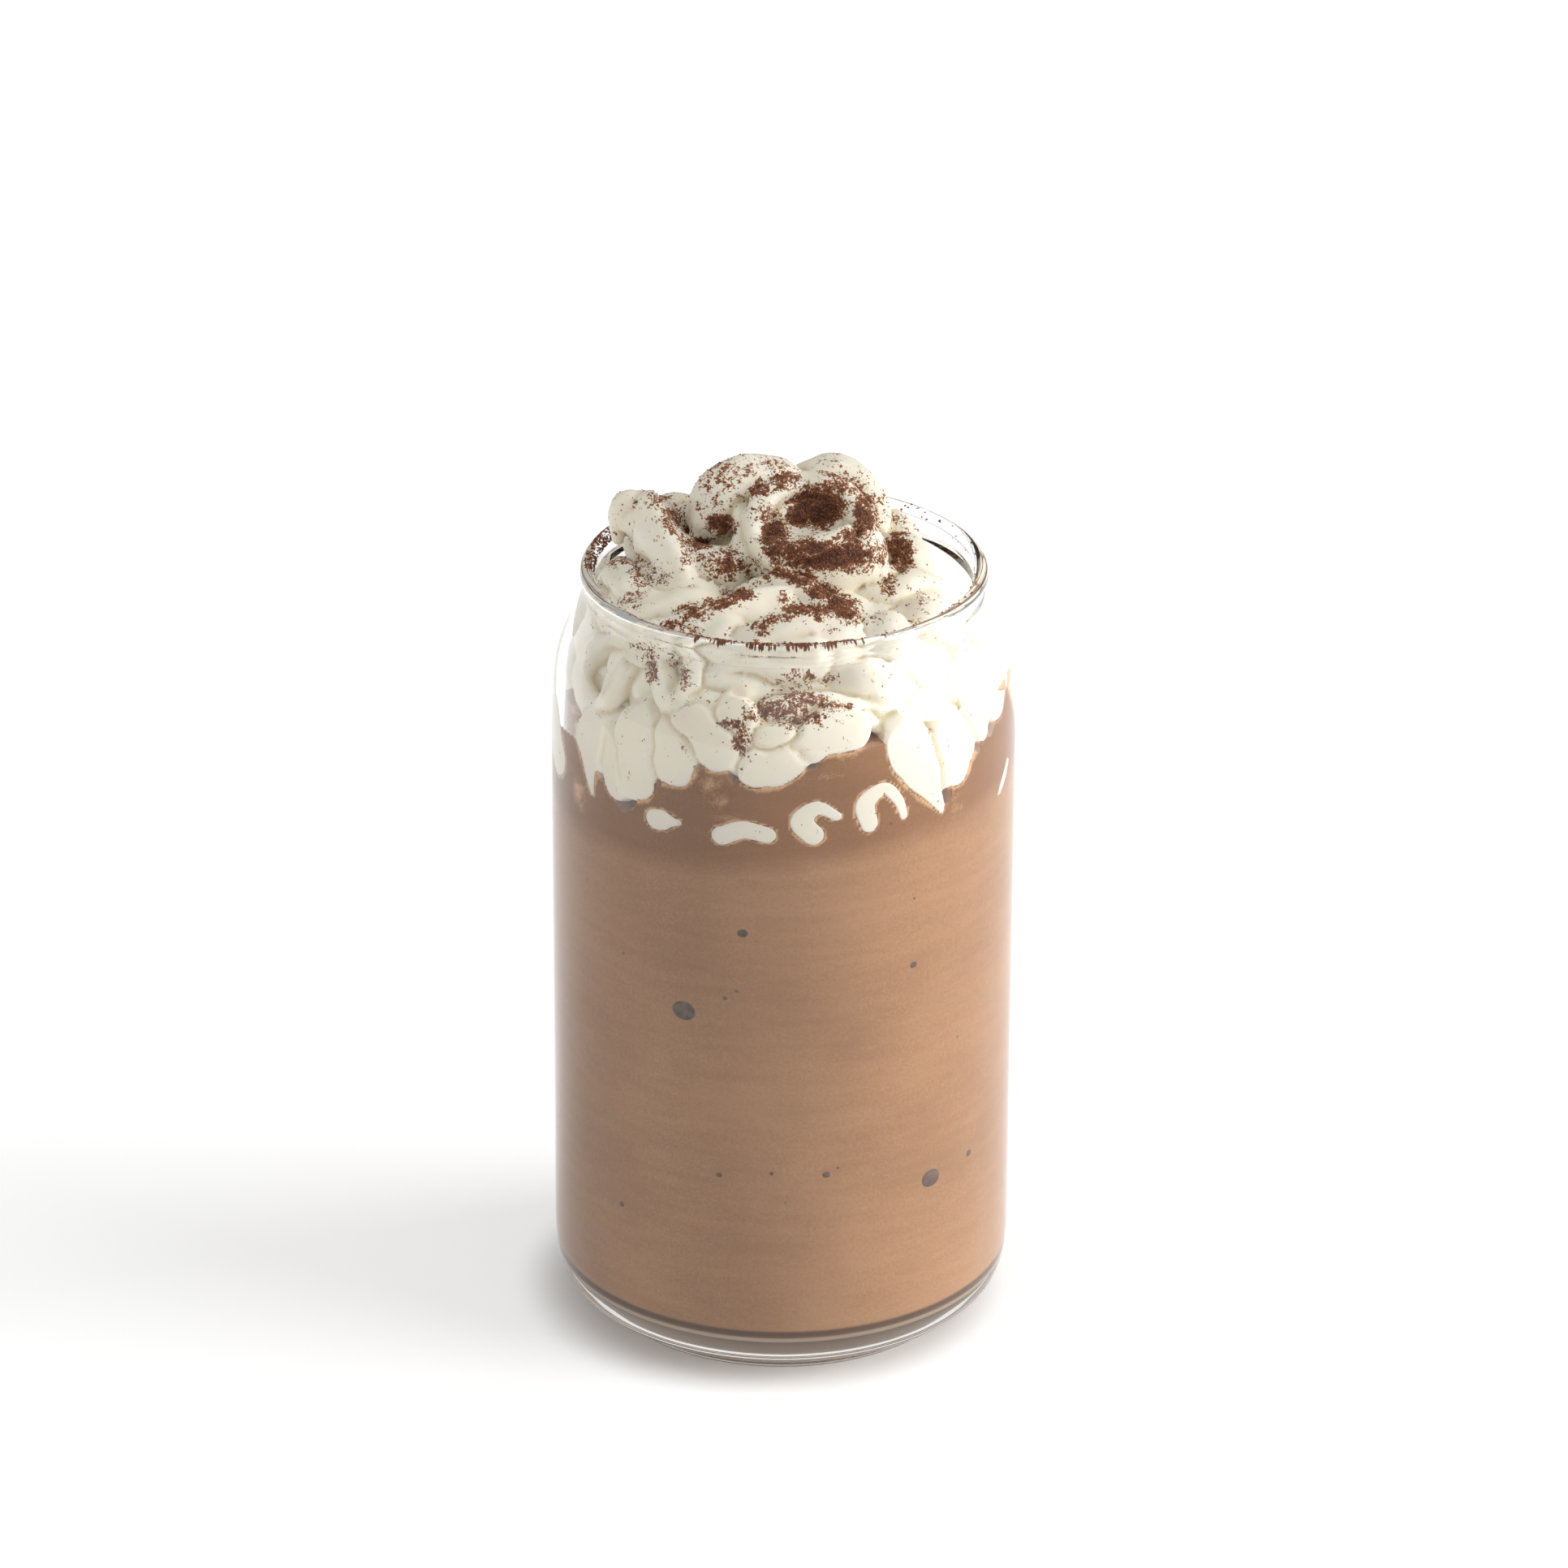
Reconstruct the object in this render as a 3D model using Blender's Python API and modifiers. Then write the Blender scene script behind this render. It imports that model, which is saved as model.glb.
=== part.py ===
"""Chocolate milkshake in a can-shaped glass, topped with folds of whipped cream.

Metres, +Z up. The origin is the middle of the glass's foot, on the table, and
-Y is the front. Three solids: glass, milkshake and whipped_cream.
"""
import functools
import math

import bmesh
import bpy
import numpy as np
from mathutils import Matrix, Vector

MM = 0.001

# Glass, in millimetres
BODY_RADIUS = 38.1
WALL = 1.9
GLASS_HEIGHT = 132.6
LIP_RADIUS = 1.15
LIP_CENTRE_R = 32.1
NECK_OUTER_R = 32.6
NECK_Z = 128.9
SHOULDER_START_Z = 103.0
FOOT_CORNER_Z = 12.5
FOOT_RADIUS = 30.4
FOOT_RING_INNER_R = 26.5
PUNT_RADIUS = 24.0
PUNT_HEIGHT = 1.6
FLOOR_Z = 8.0
FLOOR_CORNER = 2.2
GLASS_STEPS = 56

# Drink, in millimetres
GAP = 0.35
DRINK_LEVEL = 115.2

# Cream, in millimetres
CREAM_FLOOR_Z = 106.0
VOXEL = 0.8
CREAM_TRIANGLES = 6400
CREAM_CLEARANCE = 0.5
FLUTES = 5
FLUTE_DEPTH = 0.05
PRESS = 0.75
BACK_LOBES = 9
BACK_START = 80.0
BACK_END = 280.0
ROPE_SIDES = 20
ROPE_STEPS = 7
ROPE_CAP_RINGS = 4
CREST_WIDTH = 0.42
# Core under the folds: cylinders of (radius, top) and a dome of (x, y, z, radius)
CORE_CYLINDERS = [(30.5, 115.5), (26.0, 121.0)]
CORE_DOME = [(-3, -4, 118, 17.5), (-3, -2, 122, 14.0), (-3, 0, 130, 8.5)]
# Scoop in the petal: its centre, its radii and the way that it opens
SCOOP_CENTRE = (4.2, -6.0, 143.6)
SCOOP_RADII = (6.4, 4.6, 3.6)
SCOOP_OPENS = (0.05, -0.75, 0.65)


# Helpers for curves and meshes

def catmull_rom(points, per_span):
    """Smooth path through the control points, with per_span samples between two of them."""
    pts = np.array(points, dtype=float)
    padded = np.vstack([2 * pts[0] - pts[1], pts, 2 * pts[-1] - pts[-2]])
    path = []
    for i in range(1, len(padded) - 2):
        a, b, c, d = padded[i - 1:i + 3]
        for k in range(per_span):
            t = k / per_span
            path.append(0.5 * (2 * b + (c - a) * t + (2 * a - 5 * b + 4 * c - d) * t * t
                               + (3 * b - a - 3 * c + d) * t ** 3))
    path.append(pts[-1])
    return np.array(path)


def rounded_ends(path, cap_rings):
    """Adds rings beyond both ends of a path of (x, y, z, radius), so that the rope ends in domes."""
    def dome(end, inner):
        outward = end[:3] - inner[:3]
        outward /= np.linalg.norm(outward)
        rings = []
        for k in range(1, cap_rings + 1):
            angle = 0.5 * math.pi * k / (cap_rings + 0.35)
            centre = end[:3] + outward * end[3] * math.sin(angle)
            rings.append(np.append(centre, end[3] * math.cos(angle)))
        return rings
    head = dome(path[0], path[1])[::-1]
    tail = dome(path[-1], path[-2])
    return np.array(head + list(path) + tail)


def rope(points, flute=FLUTE_DEPTH, twist=1.0, crest=(0.0, 0.0, 1.0), ridge=0.0):
    """Vertices and faces of a fluted rope of cream through (x, y, z, radius) points.

    A ridge above 0 draws the rope out to a sharp edge on the side that crest points to.
    """
    path = rounded_ends(catmull_rom(points, ROPE_STEPS), ROPE_CAP_RINGS)
    centres = path[:, :3]
    tangents = np.gradient(centres, axis=0)
    tangents /= np.linalg.norm(tangents, axis=1)[:, None]
    side = np.cross(tangents[0], (0.0, 0.3, 1.0))
    angles = np.arange(ROPE_SIDES) * 2 * math.pi / ROPE_SIDES
    verts = []
    for i, centre in enumerate(centres):
        side = side - tangents[i] * np.dot(side, tangents[i])
        side /= np.linalg.norm(side)
        up = np.cross(tangents[i], side)
        turn = twist * 2 * math.pi * i / len(centres)
        off_crest = angles - math.atan2(np.dot(up, crest), np.dot(side, crest))
        off_crest = np.angle(np.exp(1j * off_crest))
        edge = ridge * np.exp(-(off_crest / CREST_WIDTH) ** 2)
        radius = path[i, 3] * (1 + flute * np.cos(FLUTES * angles + turn) + edge)
        verts.extend(centre + np.outer(radius * np.cos(angles), side)
                     + np.outer(radius * np.sin(angles), up))
    faces = []
    for i in range(len(centres) - 1):
        for j in range(ROPE_SIDES):
            k = (j + 1) % ROPE_SIDES
            a = i * ROPE_SIDES
            b = a + ROPE_SIDES
            faces.append((a + j, a + k, b + k, b + j))
    last = (len(centres) - 1) * ROPE_SIDES
    faces.append(tuple(reversed(range(ROPE_SIDES))))
    faces.append(tuple(range(last, last + ROPE_SIDES)))
    return verts, faces


def material(name, colour, roughness, transmission=0.0):
    """A Principled material with the part's colour."""
    made = bpy.data.materials.new(name)
    made.use_nodes = True
    shader = made.node_tree.nodes["Principled BSDF"]
    shader.inputs["Base Color"].default_value = (*colour, 1.0)
    shader.inputs["Roughness"].default_value = roughness
    shader.inputs["Metallic"].default_value = 0.0
    shader.inputs["Transmission Weight"].default_value = transmission
    made.diffuse_color = (*colour, 1.0)
    return made


def new_object(name, mesh, collection):
    """A new object of a mesh in a collection."""
    made = bpy.data.objects.new(name, mesh)
    collection.objects.link(made)
    return made


def turned(name, profile, collection):
    """A turned solid: a profile of (radius, height) in millimetres with a Screw modifier."""
    mesh = bpy.data.meshes.new(name)
    verts = [(r * MM, 0.0, z * MM) for r, z in profile]
    mesh.from_pydata(verts, [(i, i + 1) for i in range(len(verts) - 1)], [])
    made = new_object(name, mesh, collection)
    screw = made.modifiers.new("Turn", "SCREW")
    screw.steps = GLASS_STEPS
    screw.render_steps = GLASS_STEPS
    screw.use_merge_vertices = True
    screw.merge_threshold = 0.00001
    screw.use_smooth_shade = True
    return made


def evaluated_mesh(target):
    """The mesh of an object with its modifiers."""
    depsgraph = bpy.context.evaluated_depsgraph_get()
    return bpy.data.meshes.new_from_object(target.evaluated_get(depsgraph))


def apply_modifiers(target):
    """Replaces an object's mesh by its evaluated mesh."""
    mesh = evaluated_mesh(target)
    target.modifiers.clear()
    target.data = mesh


def keep_largest_shell(mesh):
    """Drops every shell but the largest, so that loose scraps and sealed hollows go."""
    bm = bmesh.new()
    bm.from_mesh(mesh)
    unseen = set(bm.faces)
    shells = []
    while unseen:
        stack = [unseen.pop()]
        shell = list(stack)
        while stack:
            face = stack.pop()
            for edge in face.edges:
                for other in edge.link_faces:
                    if other in unseen:
                        unseen.remove(other)
                        stack.append(other)
                        shell.append(other)
        shells.append(shell)
    shells.sort(key=lambda faces: sum(face.calc_area() for face in faces))
    for shell in shells[:-1]:
        bmesh.ops.delete(bm, geom=shell, context="FACES")
    bm.to_mesh(mesh)
    bm.free()


# Glass

def arc(centre_r, centre_z, radius, start, end, count):
    """Points on an arc in the profile plane, angles in degrees."""
    angles = np.radians(np.linspace(start, end, count))
    return [(centre_r + radius * math.cos(a), centre_z + radius * math.sin(a)) for a in angles]


def shoulder_outer():
    """Outer side of the shoulder, from the neck down to the straight wall."""
    keys = [(NECK_OUTER_R, NECK_Z), (32.95, 127.6), (34.0, 125.0), (35.3, 122.0), (36.6, 118.7),
            (37.4, 115.5), (37.85, 111.0), (BODY_RADIUS, SHOULDER_START_Z)]
    return [tuple(p) for p in catmull_rom(keys, 1)]


@functools.lru_cache
def shoulder_inner():
    """Inner side of the shoulder, one wall thickness inside the outer side."""
    outer = np.array(shoulder_outer())
    slope = np.gradient(outer, axis=0)
    slope /= np.linalg.norm(slope, axis=1)[:, None]
    inner = outer + WALL * np.column_stack([slope[:, 1], -slope[:, 0]])
    inner[0] = (LIP_CENTRE_R - LIP_RADIUS, NECK_Z)
    inner[-1] = (BODY_RADIUS - WALL, SHOULDER_START_Z)
    return [tuple(p) for p in inner]


def foot_outer():
    """Outer side of the thick base, from the straight wall round the corner to the foot ring."""
    keys = [(BODY_RADIUS, FOOT_CORNER_Z), (37.9, 10.0), (37.5, 7.7), (36.6, 5.4), (34.9, 3.6),
            (32.6, 2.2), (31.0, 1.5)]
    return [tuple(p) for p in catmull_rom(keys, 1)]


def inner_side(top_z=None):
    """Inner side of the glass from the floor's middle up, as far as top_z or the lip."""
    corner = arc(BODY_RADIUS - WALL - FLOOR_CORNER, FLOOR_Z + FLOOR_CORNER, FLOOR_CORNER, -90, 0, 4)
    side = [(0.0, FLOOR_Z)] + corner + shoulder_inner()[::-1]
    if top_z is None:
        return side
    return [p for p in side if p[1] < top_z] + [(wall_radius(top_z), top_z)]


def wall_radius(z):
    """Inner radius of the glass at height z."""
    side = np.array(shoulder_inner()[::-1])
    return float(np.interp(z, side[:, 1], side[:, 0]))


def build_glass(collection):
    """The glass: inner side up, over the rolled lip, down the outer side and under the foot."""
    lip = arc(LIP_CENTRE_R, GLASS_HEIGHT - LIP_RADIUS, LIP_RADIUS, 180, -55, 8)
    under = [(FOOT_RADIUS + 0.3, 0.5), (FOOT_RADIUS, 0.0), (FOOT_RING_INNER_R, 0.0),
             (PUNT_RADIUS, PUNT_HEIGHT * 0.7), (0.0, PUNT_HEIGHT)]
    profile = inner_side() + lip + shoulder_outer() + foot_outer() + under
    glass = turned("glass", profile, collection)
    glass.data.materials.append(material("clear_glass", (0.95, 0.96, 0.96), 0.03, 1.0))
    return glass


# Whipped cream

def around(azimuth, radius, z, thickness):
    """A rope point given by its azimuth from the front, in degrees, and its distance from the axis."""
    a = math.radians(azimuth)
    return (radius * math.sin(a), -radius * math.cos(a), z, thickness)


def pressed(azimuth, z, half_width):
    """A rope point pressed on the glass wall, with a contact patch of that half width."""
    return around(azimuth, wall_radius(z) - PRESS * half_width, z, half_width * math.hypot(1, PRESS))


def wall_lobe(*spots):
    """A lobe that comes out of the cream's core and is pressed on the wall at (azimuth, z, half width)."""
    azimuth, z, half_width = spots[0]
    root = around(azimuth, wall_radius(z) - 3.0 * half_width, z + half_width, half_width)
    return [root] + [pressed(*spot) for spot in spots]


def front_wall_lobes():
    """The row of pressed lobes round the front, from left to right, at (azimuth, z, half width)."""
    return [
        wall_lobe((-86, 108, 4.6), (-81, 105, 4.8), (-77, 102.6, 4.0)),
        wall_lobe((-57.5, 111, 4.0), (-57.5, 107.8, 3.6), (-57, 104.0, 1.9), (-56, 101.2, 0.8)),
        wall_lobe((-50.5, 110, 2.8), (-48.5, 107, 2.6), (-46.5, 104.9, 2.8)),
        wall_lobe((-41, 114.6, 3.6), (-41.3, 111, 4.0), (-41.5, 107.2, 4.3)),
        wall_lobe((-31.8, 115.6, 2.2), (-31, 113.8, 2.8), (-28.8, 111.3, 3.8)),
        wall_lobe((-28, 118.2, 1.8), (-24.5, 118.4, 2.4), (-20, 117, 3.4), (-17, 115.2, 3.8)),
        wall_lobe((-15.5, 119.8, 2.2), (-12, 119.8, 2.6), (-10.5, 117.8, 1.8)),
        wall_lobe((-8.3, 112.8, 2.8), (-4.5, 112.6, 3.3), (0, 113.6, 3.1)),
        wall_lobe((-5.5, 117, 1.8), (0, 117.4, 1.9)),
        wall_lobe((5, 116, 2.5), (9, 117, 3.0), (13.5, 117.8, 3.7), (17, 117.6, 3.4)),
        wall_lobe((33.5, 114.4, 3.6), (35.5, 111.5, 4.1), (38.5, 107.5, 3.2), (42, 103.5, 1.7),
                  (43.7, 101, 0.6)),
        wall_lobe((47.5, 113.2, 3.6), (50.5, 110.3, 4.0), (49, 107.3, 3.1)),
        wall_lobe((61, 119, 4.6), (61.5, 114.5, 4.1), (60.5, 111, 1.6)),
        wall_lobe((72, 118, 4.0), (69, 113.5, 2.9)),
    ]


def back_wall_lobes():
    """The lobes round the back, of the same kind, on a rule."""
    lobes = []
    for i in range(BACK_LOBES):
        azimuth = BACK_START + (BACK_END - BACK_START) * (i + 0.5) / BACK_LOBES
        wave = math.sin(2.4 * i + 0.6)
        width = 4.0 + 0.6 * math.cos(1.7 * i)
        drop = 108.5 + 3.0 * wave
        lobes.append(wall_lobe((azimuth - 5, 116, width), (azimuth + 2 * wave, drop, width)))
    return lobes


def recessed(thickness, gap, *spots):
    """A rope of one thickness that stays clear of the wall by gap, through (azimuth, z) spots."""
    return [around(azimuth, wall_radius(z) - gap - thickness, z, thickness) for azimuth, z in spots]


def shoulder_folds():
    """The folds between the pressed lobes and the mouth, seen through the shoulder of the glass."""
    return [
        # loop on the left and the hollow inside it
        recessed(2.1, 0.4, (-63, 113.5), (-69, 114), (-73, 117.5), (-70, 122.5), (-62, 125.5)),
        recessed(2.0, 0.2, (-49, 128), (-51, 123.5), (-54, 118.5), (-58, 114.5), (-63, 113.5)),
        recessed(4.0, 3.4, (-62, 112), (-61, 122)),
        recessed(4.0, 1.6, (-88, 122), (-86, 114)),
        # slope to the right of the loop
        recessed(4.5, 2.2, (-46.5, 127), (-47.5, 121), (-44, 117)),
        # fold bent like a V, with a groove in it
        recessed(2.2, 0.5, (-44, 129), (-40.5, 126), (-38.5, 123), (-35, 120), (-30, 118.8)),
        recessed(2.1, 0.7, (-32, 129), (-29.5, 127), (-28.5, 124), (-30, 121)),
        recessed(3.2, 3.6, (-37.5, 127), (-34, 121)),
        recessed(2.8, 1.0, (-31.5, 120), (-27, 119.8), (-21, 120)),
        # broad smooth band in the middle
        recessed(5.0, 2.2, (-24, 128), (-15.5, 126.5), (-3.5, 126.5), (8, 127), (20, 128)),
        recessed(4.5, 2.6, (-24, 123), (-14, 122)),
        # ledge below it, where the cocoa lies
        recessed(3.4, 1.4, (-8, 118.8), (-1, 119.6), (7.5, 120), (18, 119.5)),
        recessed(3.6, 4.2, (-8, 121.5), (2, 122.5), (15, 122)),
        # knob on the right with its front facet
        recessed(2.6, 1.0, (21.5, 120), (22, 124), (25, 127), (29.5, 128), (34.5, 126), (37.5, 122.5),
                 (38, 119)),
        recessed(3.0, 0.3, (27, 124.5), (28, 121), (28.5, 118)),
        recessed(3.4, 1.6, (19, 119), (33, 119)),
        # right folds
        recessed(4.2, 0.2, (38.5, 129), (43.5, 125.5), (48.5, 122)),
        recessed(2.8, 0.6, (43, 118.5), (50, 119)),
        recessed(4.4, 0.5, (58, 128), (64, 122), (67, 117)),
        recessed(4.5, 1.0, (80, 124), (88, 118), (92, 112)),
    ]


def back_folds():
    """Low folds round the back, kept below the lip, on a rule."""
    folds = []
    for i in range(7):
        azimuth = 118 + 26 * i
        rise = 116.0 + 1.5 * math.sin(1.9 * i) + 8.0 * (i / 6) ** 2
        folds.append([around(azimuth - 12, 25, rise, 5.2), around(azimuth, 27.5, rise + 2.0, 5.4),
                      around(azimuth + 9, 28.5, rise - 5.0, 5.0)])
    return folds


def crested_folds():
    """The folds above the mouth that end in a sharp crest: crest direction, ridge, points."""
    return [
        # left lobe
        ((-0.2, 0.1, 1.0), 0.42, [(-21.4, 3.5, 138.6, 4.1), (-20.7, 1, 137.2, 4.2),
                                  (-19.3, -2.5, 135.3, 4.4), (-17.2, -6.5, 132.6, 4.8)]),
        # two ridges in front, the first in two strands
        ((0.0, 0.25, 1.0), 0.45, [(-21.5, -20.5, 126.6, 3.2), (-17.3, -21.5, 128.0, 3.2),
                                  (-13.5, -21, 129.6, 3.3), (-8.6, -19.6, 130.6, 3.4),
                                  (-3.4, -17.6, 131.2, 3.4), (2, -16, 130.8, 3.2)]),
        ((0.1, 0.2, 1.0), 0.45, [(-6, -12.8, 130.0, 2.8), (-2.8, -13.3, 132.0, 2.8),
                                 (1.5, -14.3, 132.8, 2.8), (6, -16.3, 130.8, 2.8), (10.5, -17.8, 128.2, 2.8)]),
        ((0.0, 0.2, 1.0), 0.42, [(-8.5, -25, 125.5, 3.2), (-4.5, -25.3, 128.6, 3.2),
                                 (-0.8, -24.5, 130.1, 3.3), (3.1, -23.5, 130.5, 3.3), (8.3, -22.5, 129.7, 3.3),
                                 (12.2, -22, 128.6, 3.3), (17.4, -21.5, 126.2, 3.4)]),
        # left wall of the petal
        ((-0.3, -0.7, 0.7), 0.40, [(-5.2, -3.0, 141.6, 1.8), (-4.6, -6.0, 139.8, 1.9),
                                   (-2.8, -8.8, 137.4, 2.1), (0.5, -10.4, 134.6, 2.6)]),
    ]


def top_folds():
    """The round folds that stand above the mouth. Points are (x, y, z, radius)."""
    return [
        # crest at the top and its right neighbour behind
        [(-1.2, 8, 143.0, 4.5), (-6.4, 5.5, 144.1, 4.8), (-10.3, 4, 142.8, 4.9), (-11.6, 3, 139.6, 4.4)],
        [(2, 11.5, 139, 4.6), (5.1, 12, 140.5, 4.7), (9.0, 13, 141.2, 4.7), (12.6, 11, 137.6, 4.8),
         (13.5, 8, 131.5, 5)],
        [(-12.5, 7, 136, 5.0), (-9, 6, 134, 6.0)],
        # petal: a round belly, the wall behind it and the rim round its scoop
        [(0, -4.2, 134.6, 6.6), (5.5, -5, 135.2, 7.4), (10, -4, 135.6, 6.8)],
        [(0, 1, 140, 5.0), (8, 1, 140, 5.0)],
        [(-4.9, -4.4, 141.2, 2.2), (-3.6, -2, 144.1, 2.4), (-0.6, 0.3, 145.4, 2.4), (3.2, 2, 145.4, 2.4),
         (6.6, 1.2, 145.6, 2.5), (9.9, -0.6, 144.2, 2.6), (12, -3.4, 141.4, 2.8), (12.6, -6.4, 137.6, 3.0)],
        [(-2.6, -8.6, 139.0, 2.1), (1, -10.2, 139.4, 2.1), (5, -10.3, 140.2, 2.1), (9, -8.2, 141.4, 2.3)],
        # band that sweeps from the left lobe under the crest and up to the petal
        [(-18.2, -2, 135.0, 4.2), (-15.2, -4.9, 134.0, 4.3), (-10.6, -6.4, 133.8, 4.3),
         (-6.6, -5.6, 135.4, 3.4), (-5.8, -3.4, 138.6, 2.6), (-6.6, -1, 141.0, 2.2)],
        # knob with a drip, mound behind the left lobe, bud at the rim, slope below
        [(-27.0, 3.4, 135.4, 1.3), (-26.9, 4.2, 137.8, 2.0), (-26.0, 4.8, 140.4, 2.6), (-23.6, 5, 140.2, 2.8)],
        [(-26.2, 4.6, 138.6, 2.7), (-23.2, 3.8, 138.2, 3.6)],
        [(-22, 9, 132.5, 4.6), (-17.5, 12, 134.8, 4.6), (-14, 12.5, 133.6, 4.6)],
        [(-26.2, -3.5, 131.6, 3.4), (-24.6, -8.5, 131.2, 3.6)],
        [(-23, -10.5, 127.3, 6.0), (-20, -13.2, 127.5, 6.0), (-15.2, -12.6, 128.2, 6.2)],
        [(-19.5, -6.5, 129.5, 6.2), (-15, -9.5, 129.0, 6.0)],
        # between the ridges
        [(-12, -17, 126.5, 5.5), (0, -15, 127.5, 6.0), (10, -14, 127.0, 6.0)],
        [(0.5, -26.3, 129.2, 2.6), (4.6, -26.2, 129.3, 2.4)],
        # right lobes
        [(16.4, 3.4, 132.2, 3.8), (19.6, 2.2, 133.0, 3.8), (21, -0.4, 131.2, 3.6)],
        [(15.4, -8.4, 128.2, 5.2), (19.4, -4.8, 129.3, 5.0), (22.3, -2.2, 126.8, 5.0)],
        [(13.6, -15.4, 126.8, 4.6), (18.4, -12.4, 127.0, 4.6), (22.6, -6.6, 126.8, 4.6)],
        [(14.6, 12, 133.0, 3.8), (17, 11, 133.8, 3.7), (18.8, 8.8, 132.4, 3.7)],
        [(22.5, 6.5, 122.6, 4.2), (24.4, 3, 124.2, 4.2), (25.2, -2.4, 123.8, 4.2)],
    ]


def all_ropes():
    """Every rope of cream: the round ones, then those with a crest."""
    plain = front_wall_lobes() + back_wall_lobes() + shoulder_folds() + back_folds() + top_folds()
    ropes = [rope(points, twist=0.6 + 0.25 * (i % 4)) for i, points in enumerate(plain)]
    ropes += [rope(points, crest=crest, ridge=ridge) for crest, ridge, points in crested_folds()]
    return ropes


def join_shapes(shapes):
    """One mesh of many closed shapes and of the core's cylinders, in metres."""
    verts = []
    faces = []
    for shape_verts, shape_faces in shapes:
        start = len(verts)
        verts.extend(Vector(v) * MM for v in shape_verts)
        faces.extend(tuple(start + i for i in face) for face in shape_faces)
    mesh = bpy.data.meshes.new("folds")
    mesh.from_pydata(verts, [], faces)
    bm = bmesh.new()
    bm.from_mesh(mesh)
    for radius, top in CORE_CYLINDERS:
        middle = Matrix.Translation((0.0, 0.0, 0.5 * (CREAM_FLOOR_Z + top) * MM))
        bmesh.ops.create_cone(bm, cap_ends=True, segments=48, radius1=radius * MM, radius2=radius * MM,
                              depth=(top - CREAM_FLOOR_Z) * MM, matrix=middle)
    bm.to_mesh(mesh)
    bm.free()
    return mesh


def carve_scoop(mesh):
    """Hollows out the petal: what lies in the scoop's ellipsoid moves away from its opening."""
    centre, radii = Vector(SCOOP_CENTRE), Vector(SCOOP_RADII)
    inward = -Vector(SCOOP_OPENS).normalized()
    step = Vector(inward[i] / radii[i] for i in range(3))
    for vertex in mesh.vertices:
        offset = vertex.co / MM - centre
        local = Vector(offset[i] / radii[i] for i in range(3))
        if local.length < 1:
            a = step.length_squared
            b = local.dot(step)
            c = local.length_squared - 1
            vertex.co += inward * ((math.sqrt(b * b - a * c) - b) / a * MM)


def press_on_wall(mesh):
    """Moves what lies beyond the glass's inner wall back onto it, flat."""
    for vertex in mesh.vertices:
        x, y, z = vertex.co
        limit = (wall_radius(z / MM) - GAP) * MM
        reach = math.hypot(x, y)
        if reach > limit and z < GLASS_HEIGHT * MM:
            vertex.co.x = x * limit / reach
            vertex.co.y = y * limit / reach


def build_cream(collection):
    """The whipped cream: fluted ropes and a core fused by a voxel remesh, then pressed on the wall."""
    shapes = all_ropes() + [rope(CORE_DOME, flute=0.0)]
    cream = new_object("whipped_cream", join_shapes(shapes), collection)
    remesh = cream.modifiers.new("Fuse", "REMESH")
    remesh.mode = "VOXEL"
    remesh.voxel_size = VOXEL * MM
    apply_modifiers(cream)
    keep_largest_shell(cream.data)
    carve_scoop(cream.data)
    press_on_wall(cream.data)
    triangles = 2 * len(cream.data.polygons)
    thin = cream.modifiers.new("Thin out", "DECIMATE")
    thin.ratio = CREAM_TRIANGLES / triangles
    apply_modifiers(cream)
    press_on_wall(cream.data)
    cream.data.shade_smooth()
    cream.data.materials.append(material("cream", (0.93, 0.88, 0.78), 0.45))
    return cream


# Drink

def build_drink(collection, cutters, cream):
    """The drink: turned to fill the glass up to its level, cut round the cream."""
    side = [(r - GAP if r > 0 else 0.0, z + GAP * (z < FLOOR_Z + FLOOR_CORNER))
            for r, z in inner_side(DRINK_LEVEL)]
    profile = [(0.0, DRINK_LEVEL)] + side[::-1]
    drink = turned("milkshake", profile, collection)
    cutter = new_object("cream_clearance", cream.data.copy(), cutters)
    grow = cutter.modifiers.new("Clearance", "DISPLACE")
    grow.mid_level = 0.0
    grow.strength = CREAM_CLEARANCE * MM
    cutter.hide_render = True
    cutter.display_type = "WIRE"
    cut = drink.modifiers.new("Cut round the cream", "BOOLEAN")
    cut.operation = "DIFFERENCE"
    cut.object = cutter
    cut.use_self = True
    apply_modifiers(drink)
    keep_largest_shell(drink.data)
    drink.data.materials.append(material("chocolate_milkshake", (0.45, 0.27, 0.17), 0.35))
    return drink


def main():
    for leftover in list(bpy.data.objects):
        bpy.data.objects.remove(leftover)
    parts = bpy.data.collections.new("chocolate_milkshake")
    cutters = bpy.data.collections.new("cutters")
    bpy.context.scene.collection.children.link(parts)
    bpy.context.scene.collection.children.link(cutters)
    build_glass(parts)
    cream = build_cream(parts)
    build_drink(parts, cutters, cream)


main()
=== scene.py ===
"""Looks of the chocolate milkshake: clear glass, drink, whipped cream, cocoa, light and camera."""
import math

import bmesh
import bpy
import numpy as np
from mathutils import Matrix, Vector, noise
from mathutils.bvhtree import BVHTree


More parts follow.
